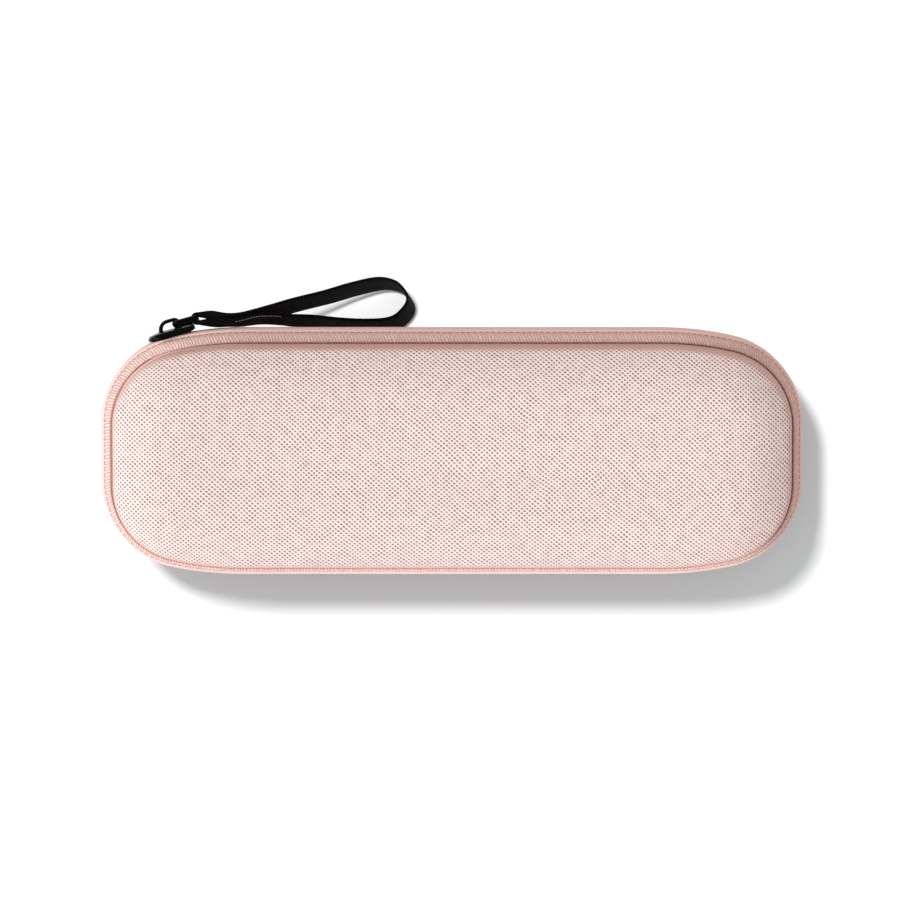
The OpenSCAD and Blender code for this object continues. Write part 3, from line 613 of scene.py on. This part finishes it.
def tape_section(lift, seam=1.0):
    """Outward place, height and share that follows the zip, round the tape.

    seam is how far the groove beside the moulded half stands open, from 0 to 1.
    """
    e = TAPE_EDGE - 0.12 + lift
    k = lift / OPEN_GAP
    floor = FOLD_TOP - 0.35 - 2.2 * seam
    leg = [(-RIM_INSET - 0.3, LEG_LOW, 0), (-8.0, LEG_LOW, 0), (-8.0, LEG_TOP, 0)]
    fold = [(-RIM_INSET - 0.25, LEG_TOP, 0), (-RIM_INSET - 0.2, floor, 0), (FOLD_AT - 0.06, floor, 0),
            (FOLD_AT, FOLD_TOP - 0.3, 0), (FOLD_AT + 0.10, FOLD_TOP - 0.08, 0.02),
            (FOLD_AT + 0.32, FOLD_TOP, 0.08), (FOLD_AT + 0.62, FOLD_TOP - 0.12, 0.16)]
    slope = [(FOLD_AT + 1.0, FOLD_TOP - 0.45, 0.3), (FOLD_AT + 1.32, FOLD_TOP - 0.90, 0.48),
             (FOLD_AT + 1.72, FOLD_TOP - 1.5 + 0.2 * k, 0.66), (-1.36, 7.25 + 0.75 * k, 0.82),
             (-1.25, 6.80 + 0.95 * k, 0.92), (-1.21, 6.45 + 1.1 * k, 1)]
    ridge = [(-1.24, 6.05 + 1.2 * k, 1), (-1.08, 5.78 + 1.3 * k, 1), (-0.58, 5.50 + 1.4 * k, 1),
             (-0.28, 5.05 + 1.5 * k, 1), (-0.08, 4.2 + 1.6 * k, 1), (0.0, 3.0 + 1.8 * k, 1),
             (0.0, 1.4 + lift, 1), (-0.04, e + 0.14, 1), (-0.16, e, 1)]
    back = [(-0.62, e, 1), (TAPE_IN + 0.03, e + 0.12, 1), (TAPE_IN, 2.0 + lift, 1),
            (TAPE_IN, 4.2 + 1.5 * k, 1), (-1.5, 5.6 + 1.2 * k, 1), (TAPE_IN - 0.9, RIM_RISE - 1.0, 0.8)]
    return leg + fold + slope + ridge + back


def seam_open(n):
    """The seam is tight at the hinge side and the slider's end and stands open elsewhere."""
    return float(smooth((n[0] * 0.75 + n[1] * 0.66 + 0.35) / 0.7))


def tape(name, up, body, node):
    """A zip tape round the whole loop."""
    ds = loop_samples(straight=2.6, tight=1.2, long_arc=2.6)
    P, UV = [], []
    base = np.array(tape_section(0.0))
    run = np.concatenate([[0], np.cumsum(np.hypot(*np.diff(base[:, :2], axis=0).T))])
    for d in list(ds) + [HALF_LOOP]:
        c, r, n = path(min(max(d, -HALF_LOOP), HALF_LOOP))
        row = []
        for out, h, share in tape_section(stand_off(d), seam_open(n)):
            xy = c + (r + out) * n
            row.append((xy[0], xy[1] - SHIFT * (1 - share), HALF_H + up * h))
        if len(P) < len(ds):
            P.append(row)
        UV.append([(d, k) for k in run] + [(d, run[-1] + 1.2)])
    link_grid(name, P, UV, tape_mat, body, (node,), closed=True)


tape("lower_zip_tape", -1, "base", "lower_tape")
tape("upper_zip_tape", 1, "lid", "upper_tape")


# ------------------------------ zip coils
def coil(name, up, phase, body, node):
    """One wound wire: each turn goes from the heel to past the middle of the zip and back."""
    pitch, wire = 1.2, 0.27
    turns = int(2 * ZIP_HALF / pitch) - 1
    steps = 12
    pts = []
    thick, low, high = COIL_T / 2 - wire, -COIL_REACH + wire, COIL_HEEL - wire
    for i in range(turns * steps + 1):
        t = i / steps
        a = TURN * (i % steps) / steps
        d = -ZIP_HALF + pitch * (0.5 + phase) + pitch * t
        z = stand_off(d)
        c, r, n = path(d)
        h = (low + high) / 2 + (high - low) / 2 * math.copysign(abs(math.cos(a)) ** 0.8, math.cos(a))
        out = (COIL_OUT + COIL_IN) / 2 + thick * math.sin(a)
        xy = c + (r + out) * n
        pts.append((xy[0], xy[1], HALF_H + up * (h + z)))
    link_threads(name, [pts], wire, 6, coil_mat, body, replaces=(node,))


coil("lower_wound_coil", -1, 0.0, "base", "lower_coil")
coil("upper_wound_coil", 1, 0.5, "lid", "upper_coil")


def stitch_row(name, rise, out, up, body, mat, length, gap, radius, reach, follow, share):
    """A row of short stitches that follows the zip line, as far as reach to both sides of the front."""
    lines, d = [], -reach + 1
    while d + length < reach - 1:
        pts = []
        for k in range(5):
            dd = d + length * k / 4
            c, r, n = path(dd)
            bulge = 0.10 * math.sin(math.pi * k / 4)
            xy = c + (r + out + bulge) * n
            z = stand_off(dd) * follow
            pts.append((xy[0], xy[1] - SHIFT * (1 - share), HALF_H + up * (rise + z)))
        lines.append(pts)
        d += length + gap
    link_threads(name, lines, radius, 5, mat, body)


for side, body in ((-1, "base"), (1, "lid")):
    stitch_row("coil_stitches_%s" % body, 6.12, -1.18, side, body, seam_mat, length=1.5, gap=0.5,
               radius=0.12, reach=ZIP_HALF, follow=0.63, share=1.0)


# ------------------------------ cloth hinge along the back
def hinge():
    """Cloth strip behind both tapes, which on the case stretches between the halves when the lid turns;
    here it is one fixed piece.
    """
    half_x, top, n, m = LONG_X - 0.2, 2.1, 66, 14
    P, UV = [], []
    for i in range(n + 1):
        x = -half_x + 2 * half_x * i / n
        row, tex = [], []
        for j in range(m + 1):
            t = -1 + 2 * j / m
            row.append((x, -SIDE_Y - COIL_OUT - 0.02 * (1 - t * t), HALF_H + top * t))
            tex.append((x, t * top))
        for j in range(m, -1, -1):
            t = -1 + 2 * j / m
            row.append((x, -SIDE_Y - COIL_OUT + TAPE_T, HALF_H + (top - 0.1) * t))
            tex.append((x, t * top + 8))
        P.append(row)
        tex.append(tex[0])
        UV.append(tex)
    ob = link_grid("cloth_hinge", P, UV, hinge_mat, None, ("hinge_strip",))
    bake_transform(ob)


hinge()


# ------------------------------ binding tapes inside the rims
def inner_wall(rise):
    """Outward place of the lining's inner face at a height over the zip."""
    lean = math.tan(math.radians(DRAFT))
    return -RIM_INSET - INSIDE_AT / cos_deg(DRAFT) - (rise - RIM_RISE) * lean


def binding(name, up, body, node):
    """Tape folded over the cut edge of a half, with a row of stitches."""
    low, thick, rise = LEG_LOW - SEAT, 0.65, RIM_RISE + 3
    foot, head = inner_wall(RIM_RISE) - SEAT, inner_wall(rise) - SEAT
    sec = [(-RIM_INSET - 0.9, low - 0.1), (-RIM_INSET - 1.3, low), (inner_wall(RIM_RISE) - 0.02, low),
           (foot, RIM_RISE), (head, rise - 0.15), (head - thick / 2, rise), (head - thick, rise - 0.3),
           (foot - thick, RIM_RISE + 0.2), (foot - thick, low - 0.1), (foot - thick * 0.55, low - thick),
           (-RIM_INSET - 1.4, low - thick), (-RIM_INSET - 0.95, low - thick * 0.8)]
    ds = loop_samples(straight=5.0, tight=1.4)
    run = np.concatenate([[0], np.cumsum(np.hypot(*np.diff(np.array(sec), axis=0).T))])
    P, UV = [], []
    for d in list(ds) + [HALF_LOOP]:
        c, r, n = path(min(d, HALF_LOOP))
        row = []
        for out, h in sec:
            xy = c + (r + out) * n
            row.append((xy[0], xy[1] - SHIFT, HALF_H + up * h))
        if len(P) < len(ds):
            P.append(row)
        UV.append([(k, d) for k in run] + [(run[-1] + 0.8, d)])
    link_grid(name, P, UV, binding_mat, body, (node,), closed=True)
    stitch_row(name + "_stitches", low - thick - 0.02, -6.2, up, body, thread_mat, length=2.2, gap=1.0,
               radius=0.14, reach=HALF_LOOP, follow=0.0, share=0.0)


binding("base_rim_binding", -1, "base", "base_binding")
binding("lid_rim_binding", 1, "lid", "lid_binding")


# ------------------------------ elastic bands in the base
BAND_T, BAND_FOOT = 1.1, 3.6
BAND_FLOOR = INSIDE_AT + SEAT


def band_line(half, rise):
    """Middle line of a band across the case: two feet and an arc between them."""
    h, top = half - BAND_T / 2, rise - BAND_T / 2
    r = (h * h + top * top) / (2 * top)
    span = math.degrees(2 * math.asin(min(1, h / r)))
    full = 360 - span if top > h else span
    line = [(-half - BAND_FOOT, 0.0), (-half - BAND_FOOT * 0.6, 0.0)]
    for i in range(37):
        a = 90 + full / 2 - full * i / 36
        line.append((r * cos_deg(a), r * sin_deg(a) + top - r))
    return np.array(line + [(half + BAND_FOOT * 0.6, 0.0), (half + BAND_FOOT, 0.0)])


def band_stitches(name, x_mid, width, half):
    """Two rows of stitches through each foot of a band."""
    length, step, top = 1.8, 2.6, BAND_FLOOR + BAND_T
    lines = []
    for side in (-1, 1):
        for y_off in (1.0, 2.6):
            y = side * (half + y_off) - SHIFT
            x = -width / 2 + 1
            while x + length < width / 2:
                lines.append([(x_mid + x + length * k / 4, y, top + 0.08 * math.sin(math.pi * k / 4))
                              for k in range(5)])
                x += step
    link_threads(name + "_stitches", lines, 0.15, 5, dark_stitch_mat, "base")


def band(name, x_mid, width, half, rise, node):
    """Elastic band sewn to the bottom, with thinner side edges."""
    line = band_line(half, rise)
    tang = np.gradient(line, axis=0)
    tang /= np.linalg.norm(tang, axis=1)[:, None]
    norm = np.stack([-tang[:, 1], tang[:, 0]], axis=1)
    run = np.concatenate([[0], np.cumsum(np.hypot(*np.diff(line, axis=0).T))])
    xs = list(np.linspace(-width / 2, width / 2, 27))
    P, UV = [], []
    for (at, away, s) in zip(line, norm, run):
        row, tex = [], []
        for face in (1, 0):
            for x in (xs if face else xs[::-1]):
                edge = min(1.0, (width / 2 - abs(x)) / 0.7)
                bulge = 0.35 + 0.65 * math.sqrt(max(0.0, 1 - (1 - edge) ** 2))
                off = BAND_T / 2 + (BAND_T / 2 - 0.06) * bulge * (1 if face else -1)
                q = at + away * off
                row.append((x_mid + x, q[0] - SHIFT, max(BAND_FLOOR + q[1], BAND_FLOOR)))
                tex.append((s, x + (0 if face else 40)))
        tex.append(tex[0])
        P.append(row)
        UV.append(tex)
    link_grid(name, P, UV, elastic_mat, "base", (node,))
    band_stitches(name, x_mid, width, half)


band("handle_elastic", -36, 26, 12.6, 10.5, "handle_band")
band("neck_elastic", 66, 14, 8.6, 7.5, "neck_band")


# ------------------------------ net pocket in the lid
NET_RISE, NET_T, NET_END = 13.0, 0.6, 20.0
NET_CELL = 2.6
NET_ROW = NET_CELL * 0.866
NET_EDGE = 0.1 - inner_wall(NET_RISE)


def net_inside(x, y, margin):
    """Whether a point lies inside the net's outline by a margin."""
    r = CORNER_R - NET_EDGE - margin
    if x > NET_END - margin:
        return False
    if abs(y) > SIDE_Y - NET_EDGE - margin:
        return False
    if x < -TIGHT_X:
        dy = max(0.0, abs(y) - TIGHT_Y)
        return math.hypot(x + TIGHT_X, dy) < r
    return abs(y) < LONG_Y + math.sqrt(max(0.0, (BLEND_R - NET_EDGE - margin) ** 2
                                           - (max(0.0, -x - LONG_X)) ** 2))


def net_thread(y0, way):
    """Unbroken runs of one wavy thread across the pocket; way mirrors it."""
    z = HALF_H + NET_RISE + NET_T / 2
    runs, run = [], []
    x = -END_X
    while x < NET_END:
        t = (x / NET_CELL) % 1.0
        w = min(1.0, max(0.0, (1 - abs(2 * t - 1) - 0.2) / 0.6))
        y = y0 + way * (w - 0.5) * NET_CELL * 0.433
        if net_inside(x, y, 0.8):
            run.append((x, y - SHIFT, z + 0.10 * way * math.cos(TURN * t)))
        else:
            runs.append(run)
            run = []
        x += NET_CELL / 6
    return [r for r in runs + [run] if len(r) > 3]


def net():
    """Rows of knitted loops, two mirrored threads to a row. Neighbouring rows don't meet."""
    lines = []
    rows = int(2 * SIDE_Y / NET_ROW) + 2
    for j in range(-rows // 2, rows // 2 + 1):
        for way in (-1, 1):
            lines += net_thread(j * NET_ROW, way)
    link_threads("knitted_net_threads", lines, 0.17, 4, net_mat, "lid", replaces=("pocket_net",))


def net_border():
    """Flat folded tape round the net, along the part of the loop with x below 0."""
    section = ((-0.15, 0.3), (-0.3, 0.62), (-2.2, 0.62), (-2.5, 0.3), (-2.2, -0.02), (-0.3, -0.02))
    P, UV = [], []
    for d in loop_samples(straight=4.0, tight=1.3):
        if d >= 0:
            continue
        c, r, n = path(d)
        row = []
        for out, h in section:
            xy = c + (r - NET_EDGE + out) * n
            row.append((xy[0], xy[1] - SHIFT, HALF_H + NET_RISE + h))
        P.append(row)
        UV.append([(d, k) for k in (0, 0.4, 2.3, 2.6, 2.9, 4.8, 5.2)])
    link_grid("net_border", P, UV, elastic_mat, "lid")


net()
net_border()


def pocket_edge():
    """Gathered elastic edge of the net pocket."""
    half, x0, wide, thick = SIDE_Y - NET_EDGE - 0.3, NET_END - 4.0, 4.0, 1.6
    z0 = HALF_H + NET_RISE - SEAT - thick
    n = 150
    P, UV = [], []
    for i in range(n + 1):
        y = -half + 2 * half * i / n
        g = 0.16 * math.sin(y * 2.9) + 0.08 * math.sin(y * 5.3 + 1)
        row, tex = [], []
        for k in range(16):
            a = TURN * k / 16
            cx = math.copysign(abs(math.cos(a)) ** 0.55, math.cos(a))
            cz = math.copysign(abs(math.sin(a)) ** 0.7, math.sin(a))
            row.append((x0 + wide / 2 + (wide / 2 - 0.15 + g) * cx, y - SHIFT,
                        z0 + thick / 2 + (thick / 2 - 0.15 + g * 0.6) * cz))
            tex.append((y, k * 0.6))
        tex.append((y, 9.6))
        P.append(row)
        UV.append(tex)
    link_grid("pocket_edge_elastic", P, UV, elastic_mat, "lid", ("pocket_elastic",))


pocket_edge()


# ------------------------------ slider and ring
RING_OUT, RING_START, RING_WIRE, RING_LENGTH, RING_WIDTH, TILT = 3.1, -3.1, 1.2, 6.4, 4.6, 16.0
BRIDGE_SEAT, BRIDGE_W = 1.45, 2.2
slider_out = np.array([cos_deg(SLIDER_AT), sin_deg(SLIDER_AT), 0.0])
slider_rear = np.array([sin_deg(SLIDER_AT), -cos_deg(SLIDER_AT), 0.0])
slider_mid = np.array([-TIGHT_X, TIGHT_Y, HALF_H]) + CORNER_R * slider_out
bar_at = slider_mid + RING_OUT * slider_out + (1.5 * RING_WIRE + RING_LENGTH - RING_START) * slider_rear
bar_up = np.array([slider_out[0] * sin_deg(TILT), slider_out[1] * sin_deg(TILT), cos_deg(TILT)])
bar_face = np.cross(bar_up, slider_rear)


def on_slider(ahead, out, side):
    """A point given ahead of, out from and beside the middle of the slider."""
    return slider_mid + out * slider_out - ahead * slider_rear + np.array([0, 0, side])


def slider_cover():
    """Cast outer plate: crowned face, rolled edges that reach round the tape, narrowing nose.

    A row is the place ahead, the half width, and the outward height of its face and its edge.
    """
    rows = [(-9.9, 2.4, 1.10, 0.35), (-9.6, 3.7, 1.5, 0.10), (-8.6, 4.8, 1.72, -0.1),
            (-6.8, 5.25, 1.8, -0.15), (-4.5, 5.7, 1.85, -0.2), (-2.0, 6.4, 1.9, -0.28),
            (0.5, 6.6, 1.9, -0.32), (2.6, 6.6, 1.85, -0.32), (4.0, 5.7, 1.6, -0.25),
            (4.9, 4.3, 1.3, -0.15), (5.6, 2.5, 0.95, 0.0), (5.95, 1.1, 0.7, 0.2)]
    P = []
    for ahead, wide, top, low in rows:
        half = [(low, wide - 0.7), (low, wide - 0.15), (low + 0.2, wide + 0.05), (top - 0.6, wide + 0.02),
                (top - 0.15, wide - 0.3), (top, wide * 0.8), (top + 0.08, wide * 0.4)]
        ring = half + [(top + 0.1, 0.0)] + [(o, -w) for o, w in half[::-1]]
        ring += [(0.22, -wide * 0.82), (0.22, wide * 0.82)]
        P.append([on_slider(ahead, o, w) for o, w in ring])
    link_grid("slider_cast_plate", P, None, paint_mat, "slider")


def bent(points, thick, wide):
    """Flat bar with round edges along points [ahead, out] in the plane of the slider."""
    pts = np.array(points, float)
    tang = np.gradient(pts, axis=0)
    tang /= np.linalg.norm(tang, axis=1)[:, None]
    P = []
    for i, (a, b) in enumerate(pts):
        nx, ny = -tang[i][1], tang[i][0]
        row = []
        for k in range(12):
            q = TURN * k / 12
            t = thick[i] * math.cos(q)
            row.append(on_slider(a + nx * t, b + ny * t, wide * math.sin(q)))
        P.append(row)
    return P


def turn(x, y, r, a0, a1, n):
    """Points of an arc round x, y from angle a0 to a1."""
    angles = [a0 + (a1 - a0) * k / n for k in range(n + 1)]
    return [(x + r * cos_deg(a), y + r * sin_deg(a)) for a in angles]


def slider_bridge():
    """Flat bar bent up from the plate, with a round nose where the ring pulls."""
    front, rear, top, nose, heel = 1.2, -5.2, BRIDGE_SEAT + 3.4, 2.7, 1.5
    line = [(front, BRIDGE_SEAT - 0.3), (front, BRIDGE_SEAT + 0.4)]
    line += turn(front - nose, top - nose, nose, 0, 90, 7) + [(-2.6, top)]
    line += turn(rear + heel, top - heel, heel, 90, 180, 6)
    line += [(rear, BRIDGE_SEAT + 0.8), (rear, BRIDGE_SEAT - 0.3)]
    thick = [0.63 + 0.22 * max(0.0, 1 - k / 5) for k in range(len(line))]
    rows = bent(line, thick, BRIDGE_W / 2 + 0.1)
    link_grid("slider_cast_bridge", rows, None, paint_mat, "slider", ("slider_bridge",))


def ring_link():
    """Wire ring with round corners; the wire is thicker than the CAD's, as photographed."""
    wire_r = 0.72
    mid = bar_at - (RING_LENGTH + RING_WIRE) / 2 * slider_rear
    x, y, r = (RING_LENGTH + RING_WIRE) / 2, (RING_WIDTH + RING_WIRE) / 2, 1.5
    line = []
    for k, (sx, sy) in enumerate(((1, 1), (-1, 1), (-1, -1), (1, -1))):
        line += turn(sx * (x - r), sy * (y - r), r, 90 * k, 90 * k + 90, 6)
    pts = [mid + a * slider_rear + b * bar_up for a, b in line]
    rows = tube(pts, wire_r, 10, closed=True)
    link_grid("wire_pull_ring", rows, None, paint_mat, "ring", ("pull_ring",), closed=True)


slider_cover()
slider_bridge()
ring_link()

shown_as_they_are = (("slider_body", paint_mat), ("end_stops", stop_mat), ("lid_shell", foam_mat),
                     ("base_shell", foam_mat))
for name, mat in shown_as_they_are:
    mats = nodes[name].data.materials
    if not mats:
        mats.append(mat)
    for k in range(len(mats)):
        mats[k] = mat


# ------------------------------ wrist strap
def unit(v):
    return v / np.linalg.norm(v)


# Rows are the way from the ring's far bar, in x and y, and the share of the height of that bar
STRAP_W, STRAP_T = 10.0, 1.0
LEAN = np.array([-0.26, 0.46, 0.85])
UPPER = [[2.6, 1.2, 0.98], [4.9, 1.1, 0.94], [7.9, 0.4, 0.88], [13.4, 0, 0.78],
         [19.9, 0.9, 0.63], [25.9, 2.1, 0.5], [30.4, 3.3, 0.41]]
LOOP = [[34.9, 4.4, 0.34], [42.9, 6.2, 0.2], [51.4, 8.6, 0.11], [59.9, 10.3, 0.05],
        [65.6, 9.4, 0.02], [68.9, 6.4, 0.01], [70, 3, 0.01], [68, -0.4, 0.01],
        [64.2, -2.9, 0.02], [56.9, -3.5, 0.06], [47.9, -3, 0.14], [38.9, -1.9, 0.25]]
LOWER = [[30.4, -1.4, 0.41], [25.9, -0.8, 0.5], [19.9, -0.6, 0.63], [13.4, -1.35, 0.78],
         [7.9, -1.35, 0.88], [4.4, -1.4, 0.95]]
STRAP_LOW = STRAP_W / 2 * LEAN[2] + 0.4


def strap_row(r):
    return np.array([bar_at[0] + r[0], bar_at[1] + r[1], STRAP_LOW + (HALF_H - STRAP_LOW) * r[2]])


def curve_at(a, b, c, d, t):
    """A smooth curve from b to c, with a and d as the points beside them."""
    square, cube = 2 * a - 5 * b + 4 * c - d, 3 * b - a - 3 * c + d
    return 0.5 * (2 * b + (c - a) * t + square * t * t + cube * t ** 3)


STRAP_ROWS = UPPER + LOOP + LOWER
PER_ROW, ACROSS, WRAP_STEPS = 8, 15, 24
TURNED = PER_ROW * (len(UPPER) + len(LOOP) // 2)
WRAP_FROM = (len(STRAP_ROWS) - 1) * PER_ROW


def strap_line():
    """Middle line of the ribbon: out, round the loop, back, and round the ring's bar."""
    rows = [strap_row(r) for r in STRAP_ROWS]
    n = len(rows)
    line = []
    for i in range(n - 1):
        before, after = rows[max(0, i - 1)], rows[min(n - 1, i + 2)]
        for k in range(PER_ROW):
            line.append(curve_at(before, rows[i], rows[i + 1], after, k / PER_ROW))
    line.append(rows[-1])
    wrap_r = RING_WIRE / 2 + 0.3 + STRAP_T / 2
    for i in range(WRAP_STEPS + 1):
        a = -90 - 180 * i / WRAP_STEPS
        line.append(bar_at + wrap_r * (cos_deg(a) * slider_rear + sin_deg(a) * bar_face))
    return np.array(line)


def strap_across(line, i, run):
    """One section of the ribbon: both faces, with the lump and the filled fold near the ring."""
    far = np.linalg.norm(line[i] - bar_at)
    share = float(smooth((far - 8) / 22))
    up = unit((1 - share) * bar_up + share * LEAN)
    wrap_half = RING_WIDTH / 2 - 0.6
    half = wrap_half + (STRAP_W / 2 - wrap_half) * float(smooth((far - 2) / 8))
    face = unit(np.cross(line[(i + 1) % len(line)] - line[(i - 1) % len(line)], up))
    away = np.array([0.0, 1.0 if i < TURNED else -1.0, 0.0])
    if i >= WRAP_FROM:
        away = line[i] - bar_at
    outer = 1 if face.dot(away) > 0 else -1
    lump = 0.75 * float(smooth((far - 1.2) / 2.2) * smooth((10.5 - far) / 5))
    neck = 0.38 * float(smooth((far - 4) / 5) * smooth((24 - far) / 12))
    fill = 0.85 * float(smooth((far - 2.3) / 1.0) * smooth((12.0 - far) / 4))
    row, tex = [], []
    for side in (1, -1):
        more = lump + neck if side == outer else fill
        for k in range(ACROSS):
            w = side * (-1 + 2 * k / (ACROSS - 1))
            edge = 0.45 + 0.55 * math.sqrt(max(0.0, 1 - abs(w) ** 7))
            thick = STRAP_T / 2 * edge + more * (1 - 0.45 * w * w)
            row.append(line[i] + up * w * half + face * side * thick)
            tex.append((run, w * half + (0 if side > 0 else 30)))
    tex.append(tex[0])
    return row, tex


def strap_edge(section):
    """A point near the edge of the face that lies on top."""
    first, second = section[:ACROSS], section[ACROSS:][::-1]
    mid = ACROSS // 2
    return second[-3] if section[mid][2] < section[ACROSS + mid][2] else first[-3]


def strap_stitches(line, sections):
    """A row of stitches along the neck, where the lower run is sewn to the upper one."""
    neck = [i for i in range(TURNED, WRAP_FROM) if 12.0 < np.linalg.norm(line[i] - bar_at) < 31.0]
    path_at = np.array([strap_edge(sections[i]) for i in neck])
    steps = np.concatenate([[0], np.cumsum(np.linalg.norm(np.diff(path_at, axis=0), axis=1))])
    lines = []
    for d in np.arange(0.3, steps[-1] - 0.8, 1.05):
        pts = []
        for along, lift in ((0, 0.08), (0.3, 0.13), (0.6, 0.08)):
            at = [np.interp(d + along, steps, path_at[:, k]) for k in range(3)]
            pts.append(np.array(at) + np.array([0, 0, lift]))
        lines.append(pts)
    link_threads("strap_neck_stitches", lines, 0.11, 5, stitch_mat, "strap")


def strap():
    """Webbing folded round the ring and laid in a loop."""
    line = strap_line()
    run = np.concatenate([[0], np.cumsum(np.linalg.norm(np.diff(line, axis=0), axis=1))])
    P, UV = [], []
    for i in range(len(line)):
        row, tex = strap_across(line, i, run[i])
        P.append(row)
        UV.append(tex)
    UV.append([(run[-1] + 1.0, q[1]) for q in UV[0]])
    link_grid("wrist_webbing", P, UV, strap_mat, "strap", ("wrist_strap",), closed=True)
    strap_stitches(line, P)


strap()


# ------------------------------ camera
scene = bpy.context.scene
PX_PER_MM, PICTURE_PX, SENSOR = 3.04, 900, 36
CAM_TILT, CAM_FAR = math.radians(5.5), 1.7
cam_data = bpy.data.cameras.new("camera")
cam = bpy.data.objects.new("camera", cam_data)
scene.collection.objects.link(cam)
target = np.array([-0.00066, 0.00016, 0.025])
cam.location = target + CAM_FAR * np.array([0, math.sin(CAM_TILT), math.cos(CAM_TILT)])
cam.rotation_euler = (-CAM_TILT, 0, 0)
cam_data.sensor_width = SENSOR
cam_data.lens = SENSOR * CAM_FAR / (PICTURE_PX / PX_PER_MM * MM)
cam_data.clip_start, cam_data.clip_end = 0.05, 20
scene.camera = cam


# ------------------------------ floor and world
def larger(tree, a, b):
    """The larger of two values, as a node."""
    n = tree.nodes.new("ShaderNodeMath")
    n.operation = "MAXIMUM"
    tree.links.new(a, n.inputs[0])
    tree.links.new(b, n.inputs[1])
    return n.outputs[0]


def seen_apart(owner, output, shader, others, direct, rays):
    """Gives one shader to the rays named and another to all others."""
    owner.use_nodes = True
    tree = owner.node_tree
    tree.nodes.clear()
    ray = tree.nodes.new("ShaderNodeLightPath").outputs
    share = ray[rays[0]]
    for name in rays[1:]:
        share = larger(tree, share, ray[name])
    mix = tree.nodes.new("ShaderNodeMixShader")
    tree.links.new(share, mix.inputs[0])
    for k, values in ((1, others), (2, direct)):
        n = tree.nodes.new(shader)
        n.inputs[0].default_value = values[0]
        n.inputs[1].default_value = values[1]
        tree.links.new(n.outputs[0], mix.inputs[k])
    tree.links.new(mix.outputs[0], tree.nodes.new(output).inputs[0])


FLOOR_HALF = 6
floor_mesh = bpy.data.meshes.new("floor")
floor_mesh.from_pydata([(-FLOOR_HALF, -FLOOR_HALF, 0), (FLOOR_HALF, -FLOOR_HALF, 0),
                        (FLOOR_HALF, FLOOR_HALF, 0), (-FLOOR_HALF, FLOOR_HALF, 0)], [], [(0, 1, 2, 3)])
floor = bpy.data.objects.new("floor", floor_mesh)
floor.location = (0, 0, -0.0002)
scene.collection.objects.link(floor)

# Grey for the light it throws on the case; seen directly it is white with a neutral shadow
floor_paint = bpy.data.materials.new("floor")
seen_apart(floor_paint, "ShaderNodeOutputMaterial", "ShaderNodeBsdfDiffuse", ((0.5, 0.5, 0.5, 1), 0.0),
           ((0.83, 1.01, 1.075, 1), 0.0), ("Is Camera Ray", "Is Glossy Ray", "Is Transmission Ray"))
floor_mesh.materials.append(floor_paint)

# A soft warm world that the camera sees as white
scene.world = bpy.data.worlds.new("studio")
seen_apart(scene.world, "ShaderNodeOutputWorld", "ShaderNodeBackground", ((1.0, 0.86, 0.82, 1), 0.636),
           ((1, 1, 1, 1), 1.0), ("Is Camera Ray",))


# ------------------------------ lamps
def sun(name, toward, strength, angle, color):
    """A soft lamp that shines from the given direction."""
    data = bpy.data.lights.new(name, "SUN")
    data.energy = strength
    data.angle = math.radians(angle)
    data.color = color
    ob = bpy.data.objects.new(name, data)
    scene.collection.objects.link(ob)
    ob.rotation_euler = Vector(toward).to_track_quat("Z", "Y").to_euler()
    return ob


# The photo's shading comes from the lower left and its shadow falls to the lower right,
# so the key lamp leaves the floor out and the drop lamp lights the floor alone.
key = sun("key", (-0.68, -0.25, 0.68), 2.65, 24, (1.0, 1.0, 1.0))
drop = sun("drop", (-0.330, 0.462, 1.0), 3.1, 9.5, (1.0, 0.822, 0.772))
only_floor = bpy.data.collections.new("lit_by_drop")
only_floor.objects.link(floor)
drop.light_linking.receiver_collection = only_floor
not_floor = bpy.data.collections.new("lit_by_key")
not_floor.objects.link(floor)
key.light_linking.receiver_collection = not_floor
not_floor.collection_objects[0].light_linking.link_state = "EXCLUDE"

scene.view_settings.view_transform = "Standard"
